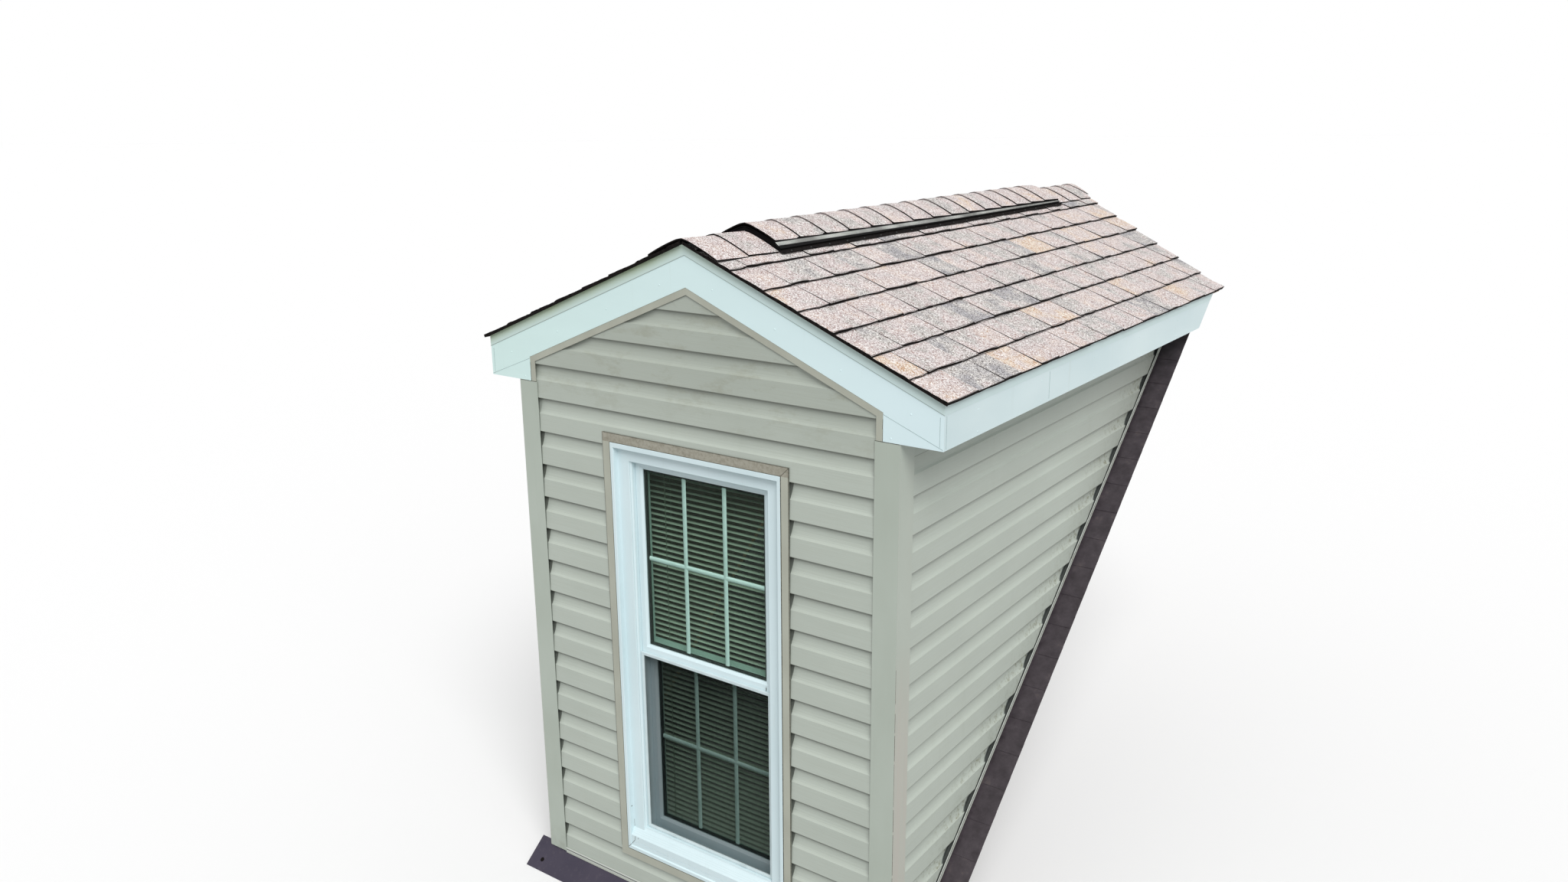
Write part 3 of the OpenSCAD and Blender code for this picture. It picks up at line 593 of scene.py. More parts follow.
def apron_finish():
    """Painted metal, purple-brown, dusty and slightly waved."""
    f = Finish("painted_flashing", 0.5, metallic=0.1, specular=0.3)
    cloud = f.noise(7, 4)
    dust = f.fade(f.noise(60, 5, rough=0.7), 0.55, 0.75, 0, 0.22)
    f.colour(f.mix(dust, f.tones(cloud, (56, 52, 66), (68, 63, 76)), (110, 104, 106)))
    f.rough(cloud, 0.35, 0.55)
    f.bump(f.noise(4, 2), 0.006, 0.5)
    return f


def step_finish():
    """Painted metal of the step flashing, darker than the apron, with grit from the shingles."""
    f = Finish("step_flashing_paint", 0.45, metallic=0.2)
    cloud = f.noise(24, 6, rough=0.65)
    f.colour(f.ramp(cloud, (0.3, (58, 52, 56)), (0.6, (76, 69, 74)), (0.85, (104, 94, 90))))
    f.rough(cloud, 0.3, 0.55)
    f.bump(f.noise(8, 2), 0.003, 0.4)
    return f


def painted_wood_finish():
    """Painted casing, with painted shade in the reveal behind the blind."""
    f = Finish("painted_casing", 0.45)
    clean = f.tones(f.noise(10, 3), (222, 222, 216), (232, 232, 227))
    # Painted shade in the reveal behind the blind
    reveal = f.below(f.axis("Y"), BLIND_Y + SLAT_W / 2)
    f.colour(f.mix(reveal, clean, (74, 78, 74)))
    f.rough(f.noise(40, 3), 0.38, 0.52)
    f.bump(f.noise(1, 3, (80, 80, 8)), 0.0003, 0.4)
    return f


def blind_finish():
    """Painted slats, with painted shade towards the room, deeper low down."""
    f = Finish("blind_white", 0.4)
    clean = f.tones(f.noise(8, 3), (226, 230, 226), (236, 240, 236))
    # Painted shade on the slats' room side, stronger lower down
    inward_shade = f.fade(f.axis("Y"), BLIND_Y - SLAT_W * 0.12, BLIND_Y + SLAT_W * 0.25, 0, 0.95)
    low = f.fade(f.axis("Z"), MEET_Z - 0.1, MEET_Z + 0.2, 1, 0.35)
    f.colour(f.mix(f.times(inward_shade, low), clean, (78, 82, 78)))
    f.rough(f.noise(40, 3), 0.32, 0.48)
    return f


def cord_finish():
    f = Finish("ladder_cord", 0.9)
    twist = f.noise(1, 2, (400, 400, 900))
    f.colour(f.tones(twist, (138, 141, 134), (168, 171, 165)))
    f.bump(twist, 0.0004, 0.8)
    return f


def metal_finish(name, roughness, scale, first, last, wear, stretch=(1, 1, 1), metallic=0):
    """Plain metal of a small section, a little uneven in colour and wear."""
    f = Finish(name, roughness, metallic)
    f.colour(f.tones(f.noise(scale[0], scale[1], stretch), first, last))
    f.rough(f.noise(wear[0], 2), *wear[1:])
    return f


def dark_line_finish(name, roughness, specular, scale, detail, rough, first, last, low, high):
    """Shadow and grime of a joint or gap."""
    f = Finish(name, roughness, specular=specular)
    f.colour(f.tones(f.noise(scale, detail, rough=rough), first, last, low, high))
    return f


FINISHES = {
    "lumber": lumber_finish(),
    "wall_panel": wall_finish(),
    "plaster_board": plaster_finish(),
    "deck_board": deck_finish(),
    "shingle": shingle_finish("roof_granules", butt_shadow=0.75),
    "shingle_cap": shingle_finish("cap_granules", 0.05),
    "asphalt_edge": edge_asphalt_finish(),
    "black_plastic": black_plastic_finish(),
    "fascia_metal": fascia_finish(),
    "drip": drip_finish(),
    "siding_vinyl": siding_finish(),
    "trim_vinyl": trim_finish(),
    "channel_vinyl": channel_finish(),
    "foot_vinyl": foot_trim_finish(),
    "flashing_metal": apron_finish(),
    "step_metal": step_finish(),
    "window_vinyl": window_finish(),
    "pane": glass_finish(),
    "mesh": mesh_finish(),
    "screen_metal": metal_finish(
        "screen_frame_white", 0.35, (20, 3), (196, 212, 214), (208, 222, 225), (60, 0.3, 0.45)),
    "grid_metal": metal_finish(
        "pale_grid_bars", 0.4, (24, 2), (190, 222, 214), (204, 234, 227), (60, 0.35, 0.5)),
    "spacer": metal_finish(
        "glass_spacer_metal", 0.4, (80, 3), (60, 66, 66), (84, 90, 90), (90, 0.3, 0.5), (1, 1, 0.1), 0.7),
    "painted_wood": painted_wood_finish(),
    "blind_white": blind_finish(),
    "blind_cord": cord_finish(),
    # Dark finish of the gap strips (painted shadow and grime) and of the window's marks (grime)
    "gap": dark_line_finish("gap_shadow_and_grime", 0.8, 0.1, 160, 5, 0.7, (40, 40, 36), (112, 110, 98), 0.35, 0.65),
    "seam": dark_line_finish("seam_shadow", 0.6, 0.2, 30, 3, 0.5, (134, 152, 152), (168, 186, 186), 0.3, 0.7),
}
NODE_FINISH = {"drip_edges": "drip", "foot_trim": "foot_vinyl", "cheek_channels": "foot_vinyl",
               "corner_post_left": "trim_vinyl", "corner_post_right": "trim_vinyl",
               "rake_channels": "channel_vinyl", "window_channel": "channel_vinyl"}
for part in frame["record"]["subparts"]:
    for slot in frame["nodes"][part["node"]].material_slots:
        slot.link = "OBJECT"
        slot.material = FINISHES[NODE_FINISH.get(part["node"], part["material_slot"])].material


# Modelling helpers

def piece(name, bm, finish, replaced=(), extra=()):
    """Turns a bmesh into an object that rides with the dormer, in the slot of its finish or a named one."""
    bmesh.ops.recalc_face_normals(bm, faces=bm.faces)
    mesh = bpy.data.meshes.new(name)
    bm.to_mesh(mesh)
    bm.free()
    made = bpy.data.objects.new(name, mesh)
    scene.collection.objects.link(made)
    for one in (finish, *extra):
        mesh.materials.append(FINISHES[one].material)
    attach(made, "root")
    if replaced:
        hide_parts(*replaced)


def newest(bm, start):
    """The vertices made since the mesh had a given number of them."""
    bm.verts.ensure_lookup_table()
    return bm.verts[start:]


def block(bm, low, high):
    """Box between two corners."""
    low, high = Vector(low), Vector(high)
    matrix = Matrix.Translation((low + high) / 2) @ Matrix.Diagonal((*(high - low), 1))
    return bmesh.ops.create_cube(bm, size=1, matrix=matrix)["verts"]


def sheet(bm, across, along):
    """Vertices and faces of a flat grid, one unit wide and long."""
    verts = bmesh.ops.create_grid(bm, x_segments=across, y_segments=along, size=0.5)["verts"]
    return verts, list({face for vert in verts for face in vert.link_faces})


def push(bm, faces, move):
    """Extrudes faces along a move."""
    swept = bmesh.ops.extrude_face_region(bm, geom=faces)["geom"]
    bmesh.ops.translate(bm, verts=[g for g in swept if isinstance(g, bmesh.types.BMVert)], vec=move)


def sweep(bm, points, move):
    """Solid with an outline of points, swept along a move."""
    push(bm, [bm.faces.new([bm.verts.new(point) for point in points])], move)


def stud(bm, spot, turn, foot, top, depth, segments=10):
    """Round head or rod at a spot, given the radii of its two ends."""
    bmesh.ops.create_cone(bm, segments=segments, radius1=foot, radius2=top, depth=depth, cap_ends=True,
                          matrix=Matrix.Translation(spot) @ turn)


def strip(bm, start, end, width, y, thick=0.0005):
    """Thin line laid on the front between two points (x, z)."""
    run = Vector((end[0] - start[0], 0, end[1] - start[1]))
    middle = Vector(((start[0] + end[0]) / 2, y - thick / 2, (start[1] + end[1]) / 2))
    turn = Matrix.Rotation(-math.atan2(run.z, run.x), 4, "Y")
    bmesh.ops.create_cube(bm, size=1, matrix=Matrix.Translation(middle) @ turn
                          @ Matrix.Diagonal((run.length, thick, width, 1)))


def ring(bm, x0, x1, z0, z1, y):
    """Rectangular loop of four edges in an upright plane."""
    corners = [bm.verts.new((x, y, z)) for x, z in ((x0, z0), (x1, z0), (x1, z1), (x0, z1))]
    return [bm.edges.new((corners[k], corners[(k + 1) % 4])) for k in range(4)]


def moulding(bm, half, z0, z1, y, profile):
    """Closed profile swept round a rectangle, of (inset, depth) or (side, foot, head, depth)."""
    start = len(bm.verts)
    steps = [p if len(p) == 4 else (p[0], p[0], p[0], p[1]) for p in profile]
    side, foot, head, depth = steps[0]
    loop = ring(bm, side - half, half - side, z0 + foot, z1 - head, y + depth)
    for side, foot, head, depth in steps[1:] + steps[:1]:
        made = bmesh.ops.extrude_edge_only(bm, edges=loop)["geom"]
        verts = {g for g in made if isinstance(g, bmesh.types.BMVert)}
        loop = [g for g in made if isinstance(g, bmesh.types.BMEdge) and set(g.verts) <= verts]
        for vert in verts:
            vert.co = (half - side if vert.co.x > 0 else side - half, y + depth,
                       z1 - head if vert.co.z > (z0 + z1) / 2 else z0 + foot)
    bmesh.ops.remove_doubles(bm, verts=newest(bm, start), dist=1e-7)


def cut_to_roof(bm, lift):
    """Cuts away what lies under the main roof's deck plus a lift, and closes the cut."""
    normal = Vector((0, -math.sin(PITCH), math.cos(PITCH)))
    cut = bmesh.ops.bisect_plane(bm, geom=bm.verts[:] + bm.edges[:] + bm.faces[:], dist=1e-6,
                                 plane_co=normal * lift, plane_no=normal, clear_inner=True)
    edges = [g for g in cut["geom_cut"] if isinstance(g, bmesh.types.BMEdge)]
    bmesh.ops.holes_fill(bm, edges=edges, sides=0)


# Roof: laminated shingles laid tab by tab

TAB_WIDTHS = (0.09, 0.11, 0.13, 0.14, 0.16, 0.19)
TAB_TONES = (0.15, 0.35, 0.45, 0.5, 0.5, 0.55, 0.6, 0.65, 0.85)
TAB_GAP = 0.0025
TAB_LAP = 0.004
CUTOUT_DROP = 0.003
RAKE_LIP_Y = RAKE_Y - LIP


def on_slope(right, up, y, high):
    """Point of a roof slope: distance up from the eave's edge, depth, height over the underlay."""
    x = ROOF_W + LIP - up * math.cos(SLOPE) + high * math.sin(SLOPE)
    foot = APEX_Z - (ROOF_W + LIP) * RISE + UNDERLAY / math.cos(SLOPE)
    return Vector((x if right else -x, y, foot + up * math.sin(SLOPE) + high * math.cos(SLOPE)))


def black_edges(bm):
    """Gives every face that doesn't lie in a roof slope the second finish."""
    bmesh.ops.recalc_face_normals(bm, faces=bm.faces)
    for face in bm.faces:
        lie = abs(face.normal.x) * math.sin(SLOPE) + face.normal.z * math.cos(SLOPE)
        face.material_index = 0 if lie > 0.75 else 1


def tab(bm, tones, right, y_range, up_range, tops, tone, rand):
    """One piece of a shingle, thickest at its butt, with a slightly waved edge."""
    start = len(bm.verts)
    verts = block(bm, (y_range[0], up_range[0], 0), (y_range[1], up_range[1], 1))
    edges = {e for v in verts for e in v.link_edges if abs(e.verts[0].co.x - e.verts[1].co.x) > 1e-6}
    bmesh.ops.subdivide_edges(bm, edges=list(edges), cuts=2)
    curl = {}
    for vert in newest(bm, start):
        y, up, high = vert.co
        at_butt = up < sum(up_range) / 2
        key = round(y, 5)
        if key not in curl:
            curl[key] = rand.uniform(-0.0028, 0.0028), rand.uniform(-0.0006, 0.0009)
        shift, lift = curl[key] if at_butt else (0, 0)
        if up < 0.001:
            shift = abs(shift)
        low = 0.0002 if at_butt else 0.0001
        top = (tops[0] + lift) if at_butt else tops[1]
        vert.co = on_slope(right, up + shift, y, top if high > 0.5 else low)
        vert[tones] = tone


def shingle_slope(name, right, seed):
    """Courses of one slope, raised tabs by turns with the lower laminate."""
    rand = random.Random(seed)
    bm = bmesh.new()
    tones = bm.verts.layers.float.new(TONE)
    for i in range(math.ceil(REACH / EXPOSURE)):
        up0 = i * EXPOSURE
        up_range = up0, min(up0 + EXPOSURE + TAB_LAP, REACH - 0.024)
        y = RAKE_LIP_Y
        raised = rand.random() < 0.5
        while y < SEAT_END * 1.08:
            width = rand.choice(TAB_WIDTHS)
            if y == RAKE_LIP_Y:
                width = rand.uniform(0.05, 0.2)
            tone = rand.choice(TAB_TONES) + rand.uniform(-0.06, 0.06)
            tops = (BUTT_H - 0.0012, 0.0022) if raised else (BUTT_H - 0.0012 - CUTOUT_DROP, 0.0014)
            tab(bm, tones, right, (y, y + width - (TAB_GAP if raised else 0)), up_range, tops, tone, rand)
            y += width
            raised = not raised
    cut_to_roof(bm, SHINGLE_FOOT)
    black_edges(bm)
    piece(name, bm, "shingle", ["shingles_right" if right else "shingles_left"], extra=["asphalt_edge"])


def rake_edges():
    """Black edges of the shingle courses over both rakes, stepped at each butt and slightly waved."""
    rand = random.Random(8)
    bm = bmesh.new()
    for right in (True, False):
        grid, faces = sheet(bm, 84, 1)
        waves = {}
        for vert in grid:
            up = (vert.co.x + 0.5) * (REACH - 0.002)
            key = round(vert.co.x, 4)
            if key not in waves:
                waves[key] = rand.uniform(-0.0007, 0.0005)
            step = 1 - (up / EXPOSURE) % 1
            high = 0.0068 + 0.0034 * step + waves[key] if vert.co.y > 0 else 0.0002
            vert.co = on_slope(right, up, RAKE_LIP_Y - 0.0014, high)
        push(bm, faces, (0, 0.0034, 0))
    piece("black_rake_edges", bm, "asphalt_edge")


shingle_slope("laid_shingles_right", True, 11)
shingle_slope("laid_shingles_left", False, 23)
rake_edges()


# Ridge: folded caps over a louvred vent

FOLD_SOFT = 0.016
DECK_TOP = UNDERLAY + BUTT_H
VENT_TOP = DECK_TOP + VENT_H
RIB_T = 0.003


def fold(across, high):
    """Point of the folded ridge: distance from the middle along the slope, height over the ridge line."""
    soft = math.sqrt(across * across + FOLD_SOFT * FOLD_SOFT)
    return across * math.cos(SLOPE), APEX_Z + high / math.cos(SLOPE) - soft * math.sin(SLOPE)


def along_ridge(outline, y, side=1):
    """Points at one place of the ridge for an outline of (distance from the ridge, height)."""
    points = [fold(across, high) for across, high in outline]
    return [(side * x, y, z) for x, z in points]


def cap_run(bm, tones, y0, y1, base, rand, narrow=0.0):
    """Caps from one place of the ridge to another, each one skewed a little and over the next."""
    count = max(1, round((y1 - y0) / CAP_EXPOSURE))
    step = (y1 - y0) / count
    for i in range(count):
        start = len(bm.verts)
        grid, faces = sheet(bm, 14, 2)
        skew = rand.uniform(-0.003, 0.003)
        wide = CAP_W - narrow * (1 - i / count) + rand.uniform(-0.0015, 0.001)
        slant = rand.uniform(-0.002, 0.002)
        tone = rand.choice((0.35, 0.45, 0.5, 0.55, 0.65)) + rand.uniform(-0.06, 0.06)
        for vert in grid:
            a, b = vert.co.x * 2, vert.co.y + 0.5
            x, z = fold(a * wide, base + CAP_T * (1.9 - 0.95 * b) - 0.0062 * abs(a) ** 3)
            y = y0 + i * step + b * (step + 0.003) + (skew * a + slant * a * a) * (1 - b)
            vert.co = (x, max(y0, min(y, y1)), z)
        bmesh.ops.solidify(bm, geom=faces, thickness=0.0042)
        for vert in newest(bm, start):
            vert[tones] = tone


def ridge_caps():
    rand = random.Random(5)
    bm = bmesh.new()
    tones = bm.verts.layers.float.new(TONE)
    cap_run(bm, tones, RAKE_LIP_Y, VENT_Y0 - 0.001, DECK_TOP, rand)
    cap_run(bm, tones, VENT_Y1 + 0.001, SEAT_END + 1.5 * CAP_EXPOSURE, DECK_TOP, rand)
    cut_to_roof(bm, SHINGLE_FOOT + 0.006)
    black_edges(bm)
    piece("folded_ridge_caps", bm, "shingle_cap", ["ridge_caps"], extra=["asphalt_edge"])
    bm = bmesh.new()
    tones = bm.verts.layers.float.new(TONE)
    cap_run(bm, tones, VENT_Y0, VENT_Y1, VENT_TOP, rand, CAP_TAPER)
    black_edges(bm)
    piece("folded_vent_caps", bm, "shingle_cap", ["vent_caps"], extra=["asphalt_edge"])


def vent_section(bm, outline, y0, y1):
    """Half outline and its mirror image, swept back along the ridge."""
    outline = outline + [(-across, high) for across, high in reversed(outline) if across > 0]
    sweep(bm, along_ridge(outline, y0), (0, y1 - y0, 0))


def ridge_vent():
    """Shell with end plugs, cross fins and ribs beside the caps, then its louvres and nailed foot."""
    low, top = DECK_TOP, VENT_TOP
    bm = bmesh.new()
    bends = [0, 0.008, 0.016, 0.026, 0.04, 0.08, 0.118]
    shell = [(a, top - 0.0003) for a in bends]
    shell += [(0.126, top - 0.001), (0.138, top - 0.005), (VENT_W, top - 0.008),
              (VENT_W + 0.001, top - 0.011), (VENT_W - 0.003, top - 0.011), (0.13, top - 0.0065),
              (0.118, top - 0.0035)]
    shell += [(a, top - 0.003) for a in reversed(bends[:-1])]
    vent_section(bm, shell, VENT_Y0, VENT_Y1)
    plug = [(0, top - 0.0035), (0.05, top - 0.0035), (0.118, top - 0.004), (VENT_W - 0.003, top - 0.0115),
            (VENT_W, low + 0.0005), (0.06, low + 0.0005), (0, low + 0.0015)]
    for y in (VENT_Y0 + 0.0005, VENT_Y1 - 0.0045):
        vent_section(bm, plug, y, y + 0.004)
    fin = [(0.03, top - 0.0035), (0.118, top - 0.004), (0.142, top - 0.012), (0.142, low + 0.0005),
           (0.03, low + 0.0005)]
    for k in range(math.ceil((VENT_L - 0.15) / FIN_PITCH)):
        y = VENT_Y0 + 0.1 + k * FIN_PITCH
        vent_section(bm, fin, y, y + 0.003)
    rib = [(0.1215, top - 0.002), (0.1452, top - 0.009), (0.1452, top - 0.0068), (0.1215, top + 0.0006)]
    for k in range(math.ceil((VENT_L - 2 * RIB_START) / RIB_PITCH)):
        y = VENT_Y0 + RIB_START + k * RIB_PITCH - RIB_T / 2
        for side in (1, -1):
            sweep(bm, along_ridge(rib, y, side), (0, RIB_T, 0))
    piece("louvred_ridge_vent", bm, "black_plastic", ["ridge_vent"])

    bm = bmesh.new()
    foot = [(VENT_W - 0.006, low + 0.0004), (VENT_W + 0.014, low + 0.0004), (VENT_W + 0.014, low + 0.0022),
            (VENT_W - 0.006, low + 0.0028)]
    for side in (1, -1):
        for k in range(3):
            h = low + 0.0015 + k * 0.0035
            louvre = [(0.112, h), (0.1415, h), (0.1415, h + 0.0012), (0.112, h + 0.0012)]
            sweep(bm, along_ridge(louvre, VENT_Y0 + 0.005, side), (0, VENT_L - 0.01, 0))
        sweep(bm, along_ridge(foot, VENT_Y0 - 0.002, side), (0, VENT_L + 0.004, 0))
    piece("vent_fins_and_foot", bm, "asphalt_edge")

    bm = bmesh.new()
    x, z = fold(VENT_W + 0.008, low + 0.003)
    for side in (1, -1):
        turn = Matrix.Rotation(side * SLOPE, 4, "Y")
        for k in range(20):
            stud(bm, (side * x, VENT_Y0 + 0.05 + k * FIN_PITCH, z), turn, 0.0026, 0.0016, 0.0014, 8)
    piece("vent_nails", bm, "spacer")


ridge_caps()
ridge_vent()


# Window

PANE_W = SASH_W - SASH_FACE
PANES = ((UPPER_Y, MEET_Z + MEET_H, UPPER_TOP - TOP_RAIL), (LOWER_Y, LOWER_FOOT + FOOT_RAIL, MEET_Z))


def frame_mouldings():
    """Flange, set-back flat and step of the jambs and head; foot with a ribbed slope up to the screen."""
    bm = bmesh.new()
    profile = [(0, 0, 0, WIN_D), (0, 0, 0, 0.0015), (0.0015, 0.0015, 0.0015, 0), (0.0115, 0.0125, 0.0155, 0),
               (0.013, 0.014, 0.017, 0.0015), (0.0132, 0.015, 0.0172, 0.0035),
               (0.0134, 0.0155, 0.0174, NOSE_Y), (0.0135, 0.03, 0.0175, NOSE_Y),
               (0.0136, 0.0305, 0.0176, NOSE_Y + 0.0018), (0.0137, 0.0315, 0.0177, NOSE_Y),
               (0.0138, 0.055, 0.0178, NOSE_Y), (0.0139, NOSE_H, 0.0179, NOSE_IN)]
    for k in range(1, 4):
        foot = NOSE_H + k / 4 * (FLAT_FOOT - NOSE_H)
        back = NOSE_IN + k / 4 * (FLAT_IN - NOSE_IN)
        profile += [(0.014, foot - 0.0006, 0.018, back), (0.014, foot + 0.001, 0.018, back + 0.0004)]
    profile += [(0.0145, FLAT_FOOT, 0.0185, FLAT_IN),
                (FLAT_W - 0.0015, FLAT_FOOT + 0.0004, HEAD_FACE - 0.0015, FLAT_IN),
                (FLAT_W, FLAT_FOOT + 0.0015, HEAD_FACE, FLAT_IN + 0.0015),
                (FLAT_W, 0.0865, HEAD_FACE, 0.026), (0.062, LEDGE_H - 0.0008, HEAD_FACE, 0.0264),
                (WIN_FACE, LEDGE_H, HEAD_FACE, 0.03), (WIN_FACE, LEDGE_H, HEAD_FACE, STOP_D - 0.0005),
                (WIN_FACE, SILL_H - 0.004, WIN_HEAD, STOP_D), (WIN_FACE, SILL_H, WIN_HEAD, WIN_D)]
    moulding(bm, WIN_W / 2, WIN_LOW, WIN_TOP, WIN_Y, profile)
    piece("window_frame_mouldings", bm, "window_vinyl", ["window_frame"])


def sash(name, y, z0, z1, foot, head, node):
    """Stiles and rails with a sloped bead towards the glass."""
    bm = bmesh.new()
    bead = 0.0085
    profile = [(0, 0, 0, SASH_T), (0, 0, 0, 0.001), (0.001, 0.001, 0.001, 0)]
    for inset, depth in ((-bead, 0), (-bead + 0.0012, 0.002), (0, GLASS_IN - 0.0005), (0, SASH_T)):
        profile.append((SASH_FACE + inset, foot + inset, head + inset, depth))
    moulding(bm, SASH_W, z0, z1, y, profile)
    piece(name, bm, "window_vinyl", [node])


def spacers():
    """Metal spacer between the panes of each sash."""
    bm = bmesh.new()
    profile = [(0, 0), (0.0065, 0.001), (0.0065, PANE_GAP - 0.0016), (0, PANE_GAP - 0.0006)]
    for y, z0, z1 in PANES:
        moulding(bm, PANE_W - 0.0004, z0 + 0.0004, z1 - 0.0004, y + GLASS_IN + PANE_T + 0.0003, profile)
    piece("glass_spacers", bm, "spacer")


def grid_bars():
    """Contoured bars between the panes, two upright and one across."""
    bm = bmesh.new()
    half, flat = GRID_W / 2, GRID_T / 2
    edge = [(half, 0), (half - 0.003, flat - 0.001), (half - 0.006, flat)]
    outline = edge + [(-a, b) for a, b in reversed(edge)]
    outline += [(-a, -b) for a, b in edge[1:]] + [(a, -b) for a, b in reversed(edge[1:])]
    for y, z0, z1 in PANES:
        w = PANE_W - 0.0075
        middle = y + SASH_T / 2
        low, high = z0 + GRID_END, z1 - GRID_END
        for x in (-PANE_W / 3, PANE_W / 3):
            sweep(bm, [(x + a, middle + b, low) for a, b in outline], (0, 0, high - low))
        sweep(bm, [(-w, middle + b * 1.02, (z0 + z1) / 2 + a) for a, b in outline], (2 * w, 0, 0))
    piece("contoured_grid_bars", bm, "grid_metal", ["sash_grids"])


def screen():
    """Half screen: rolled frame with a spline groove and pull tabs."""
    bm = bmesh.new()
    profile = [(0, SCREEN_T), (0, 0.001), (0.001, 0), (0.0065, 0), (0.0072, 0.0012), (0.0082, 0.0012),
               (0.009, 0.0004), (SCREEN_BAR, 0.0012), (SCREEN_BAR, SCREEN_T)]
    moulding(bm, SASH_W, SCREEN_LOW, SCREEN_TOP, SCREEN_Y, profile)
    for x in (-0.15, 0.15):
        block(bm, (x - 0.012, SCREEN_Y - 0.0025, SCREEN_LOW + 0.004),
              (x + 0.012, SCREEN_Y + 0.001, SCREEN_LOW + 0.01))
    piece("rolled_screen_frame", bm, "screen_metal", ["screen_frame"])


frame_mouldings()
sash("upper_sash_rails", UPPER_Y, MEET_Z, UPPER_TOP, MEET_H, TOP_RAIL, "upper_sash")
sash("lower_sash_rails", LOWER_Y, LOWER_FOOT, MEET_Z + MEET_H, FOOT_RAIL, MEET_H, "lower_sash")
spacers()
grid_bars()
screen()


# Blind

def blind():
    """Crowned slats, each a little off its tilt, and the rungs of the ladders that carry them."""
    low = BLIND_LOW + BLIND_FOOT + SLAT_GAP
    count = math.floor((BLIND_TOP - BLIND_HEAD - SLAT_GAP - low) / SLAT_GAP + 1e-4) + 1
    heights = [low + k * SLAT_GAP for k in range(count)]
    rand = random.Random(3)
    bm = bmesh.new()
    for z in heights:
        grid, faces = sheet(bm, 4, 6)
        tilt = SLAT_TILT + rand.uniform(-0.03, 0.03)
        for vert in grid:
            a, b = vert.co.x * BLIND_W, vert.co.y * SLAT_W
            crown = SLAT_CROWN * (1 - (2 * vert.co.y) ** 2)
            vert.co = (a, BLIND_Y + b * math.cos(tilt) - crown * math.sin(tilt),
                       z + b * math.sin(tilt) + crown * math.cos(tilt))
        bmesh.ops.solidify(bm, geom=faces, thickness=0.0005)
    piece("crowned_slats", bm, "blind_white", ["blind_slats"])
    bm = bmesh.new()
    turn = Matrix.Rotation(math.pi / 2 + SLAT_TILT, 4, "X")
    for z in heights:
        for x in (-LADDER_X, LADDER_X):
            stud(bm, (x + 0.0012, BLIND_Y, z - 0.0012), turn, CORD_R, CORD_R, SLAT_W, 5)
    piece("ladder_rungs", bm, "blind_cord")


blind()


# Small fixings, seams, gaps and marks

FRONT = Matrix.Rotation(math.pi / 2, 4, "X")
FLANK = Matrix.Rotation(math.pi / 2, 4, "Y")
TRIM_Y = FACE_Y - 0.019


def trim_nails():
    """Painted nail heads in the eave fascias and rake boards."""
    bm = bmesh.new()
    for side in (1, -1):
        flank = [(0.12 + k * 0.42, z) for k in range(5) for z in (FASCIA_LOW + 0.012, FASCIA_TOP - 0.045)]
        for y, z in flank:
            if z - y * math.tan(PITCH) > 0.08:
                turn = Matrix.Rotation(side * math.pi / 2, 4, "Y")
                stud(bm, (side * (ROOF_W + 0.0004), y, z), turn, NAIL_R, NAIL_R * 0.6, NAIL_H)
        front = [(x, APEX_Z - x * RISE - 0.085) for x in (0.1, 0.32, 0.54, 0.76)]
        for x, z in front + [(0.7, FASCIA_LOW + 0.012)]:
            stud(bm, (side * x, RAKE_Y - 0.0004, z), FRONT, NAIL_R, NAIL_R * 0.6, NAIL_H)
    piece("trim_nails", bm, "fascia_metal")


def metal_seams():
    """Joints of the bent metal: rake board over the return, corner, and the lapped eave fascia."""
    bm = bmesh.new()
    board_low = APEX_Z - RETURN_X * RISE - DRIP_H - 0.098
    edge = ROOF_W - 0.012
    for side in (1, -1):
        strip(bm, (side * RETURN_X, board_low), (side * (ROOF_W - 0.002), FASCIA_LOW + 0.004), 0.0009, RAKE_Y)
        strip(bm, (side * edge, FASCIA_LOW + 0.01), (side * edge, FASCIA_TOP - 0.028), 0.0008, RAKE_Y)
        x = side * (ROOF_W + 0.0002)
        for y0, y1, low in ((0.5975, 0.5985, 0.008), (-0.063, -0.0622, 0.004)):
            block(bm, (x - 0.0003, y0, FASCIA_LOW + low), (x + 0.0003, y1, FASCIA_TOP - 0.026))
    piece("metal_seams", bm, "seam")


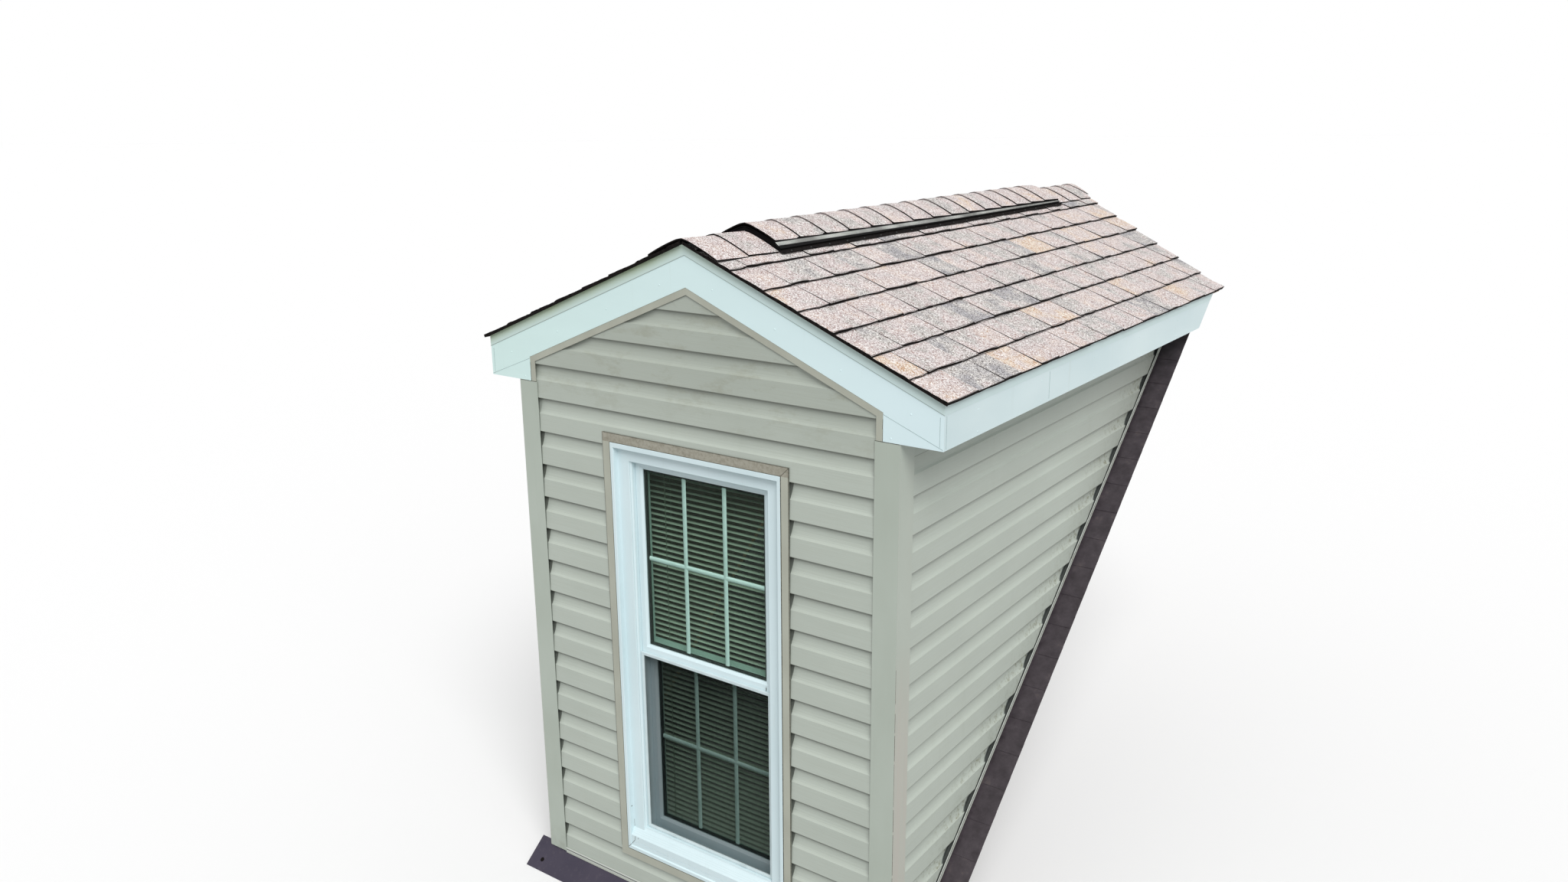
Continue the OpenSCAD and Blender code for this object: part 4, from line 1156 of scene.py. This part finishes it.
def channel_lines():
    """Painted shadow of the gaps, with grime, along the window's channel and round the eave returns."""
    x0, x1 = WIN_W / 2, WIN_W / 2 + LIP_W
    z0, z1, z2 = WIN_LOW, WIN_TOP, WIN_TOP + LIP_W
    upright = [(x0 + 0.0013, z0, z1, 0.0026), (x1 - 0.0012, z0 - LIP_W, z2, 0.0024),
               (-x0 - 0.0006, z0, z1, 0.0007), (0.0008 - x1, z0, z2, 0.0005)]
    level = [(-x0, x0, z1 + 0.0008, 0.0012), (0.004 - x1, x1, z2 - 0.0008, 0.001),
             (-x0, x0, z0 - 0.0008, 0.001)]
    lines = [((x, low), (x, high), wide) for x, low, high, wide in upright]
    lines += [((left, z), (right, z), wide) for left, right, z, wide in level]
    lines.append(((x0, z1), (x1, z2), 0.0012))
    foot, wide = FASCIA_LOW - 0.0012, 0.0014
    for side in (1, -1):
        edge = side * (RETURN_X - 0.0011)
        lines += [((edge, FASCIA_LOW), (edge + side * 0.0006, FASCIA_LOW + 0.034), wide),
                  ((edge - side * 0.0008, FASCIA_LOW + 0.034), (edge, FASCIA_LOW + 0.062), wide * 0.7),
                  ((side * (POST_X - POST_W), foot), (side * (POST_X - 0.002), foot), wide)]
    bm = bmesh.new()
    # Thin dark strips laid as painted shadow and grime in the gaps
    for start, end, width in lines:
        strip(bm, start, end, width, TRIM_Y)
    piece("channel_gap_shadow_lines", bm, "gap")


def window_marks():
    """Screw hole in the jamb, cracked sealant at the lower corner, scuffs, sash lock keeper."""
    bm = bmesh.new()
    nose = WIN_Y + NOSE_Y + 0.0001
    strip(bm, (-0.331, 0.109), (-0.318, 0.124), 0.0016, WIN_Y + 0.0002, 0.0008)
    for start, end, width, y in (((-0.318, 0.124), (-0.305, 0.141), 0.0013, nose),
                                 ((-0.305, 0.141), (-0.3022, 0.1575), 0.0011, nose),
                                 ((-0.29, 0.15), (-0.2869, 0.1577), 0.0007, nose),
                                 ((-0.3182, 0.184), (-0.3186, 0.212), 0.0006, WIN_Y + FLAT_IN + 0.0001)):
        strip(bm, start, end, width, y)
    stud(bm, (-0.3202, WIN_Y + 0.012, 0.267), FLANK, 0.0024, 0.0024, 0.0006, 12)
    z = MEET_Z + MEET_H * 0.52
    block(bm, (0.2495, SCREEN_Y - 0.0006, z), (0.2515, SCREEN_Y + 0.001, z + 0.01))
    piece("window_marks", bm, "gap")


def corner_cracks():
    """Grime in the worn outer edge of the corner posts, broken along its length."""
    rand = random.Random(4)
    bm = bmesh.new()
    y = TRIM_Y + 0.0003
    for side in (1, -1):
        z = 0.03
        while z < 1.05:
            length = rand.uniform(0.05, 0.16)
            wide = rand.uniform(0.0007, 0.0018)
            x = side * POST_X
            block(bm, (x - 0.0003, y, z), (x + 0.0003, y + wide, z + length))
            z += length + rand.choice((0.0, 0.0, 0.01, 0.03))
    piece("corner_grime", bm, "gap")


def apron_fixings():
    """Sealed nails along the lower edge of the apron."""
    bm = bmesh.new()
    turn = Matrix.Rotation(PITCH, 4, "X")
    for x in (-0.7344, -0.36, 0.02, 0.4, 0.7344):
        spot = turn @ Vector((x, -0.142, 0.0137))
        stud(bm, spot, turn, 0.0085, 0.005, 0.0022, 14)
        stud(bm, spot, turn, 0.004, 0.0032, 0.0036)
    piece("apron_fixings", bm, "asphalt_edge")


trim_nails()
metal_seams()
channel_lines()
window_marks()
corner_cracks()
apron_fixings()


# Floor, world and lamps; floor and world seen through the panes are painted near black, as the shade of the
# closed room

bpy.ops.mesh.primitive_plane_add(size=600, location=(0, 0, cad_box[0].z - 0.001))
floor = bpy.context.active_object
floor.name = "studio_floor"
ground = Finish("studio_floor", 0.95, specular=0.1)
rays = ground.node("ShaderNodeLightPath").outputs
seen_floor = ground.mix(rays["Is Diffuse Ray"], (0.88, 0.88, 0.88, 1), (0.34, 0.34, 0.34, 1))
# Painted shade: the floor turns near black when seen through the panes
glazed_room_shade = ground.above(rays["Transparent Depth"], 0.5)
ground.colour(ground.mix(glazed_room_shade, seen_floor, (0.02, 0.02, 0.02, 1)))
floor.data.materials.append(ground.material)

world = bpy.data.worlds.new("studio")
scene.world = world
world.use_nodes = True
sky = Tree(world.node_tree, "World Output")
rays = sky.node("ShaderNodeLightPath").outputs
fill = sky.feed(sky.nodes["Background"], {"Color": (1, 1, 1, 1), "Strength": 0.58})
white, dark = (sky.node("ShaderNodeBackground", {"Color": (1, 1, 1, 1), "Strength": strength})
               for strength in (1, 0.02))
seen = sky.math("MAXIMUM", sky.math("MAXIMUM", rays["Is Camera Ray"], rays["Is Transmission Ray"]),
                rays["Is Glossy Ray"])
# Painted shade: the world turns near black when seen through the panes
sky_glazed_room_shade = sky.times(sky.above(rays["Transparent Depth"], 0.5), rays["Is Camera Ray"])
sky.show(sky.mix_shaders(sky_glazed_room_shade, sky.mix_shaders(seen, fill, white), dark))


def distant_lamp(name, energy, width, turn, lean):
    """Sun lamp, with its angles in degrees."""
    data = bpy.data.lights.new(name, "SUN")
    data.energy = energy
    data.angle = math.radians(width)
    lamp = bpy.data.objects.new(name, data)
    lamp.matrix_world = (Matrix.Rotation(math.radians(turn), 4, "Z")
                         @ Matrix.Rotation(math.radians(lean), 4, "X"))
    lamp.visible_glossy = False
    scene.collection.objects.link(lamp)


distant_lamp("sun", 2.2, 32, 44, 43)
distant_lamp("soft_front", 0.5, 60, 48, 74)

scene.view_settings.view_transform = "Standard"
scene.cycles.transparent_max_bounces = 24
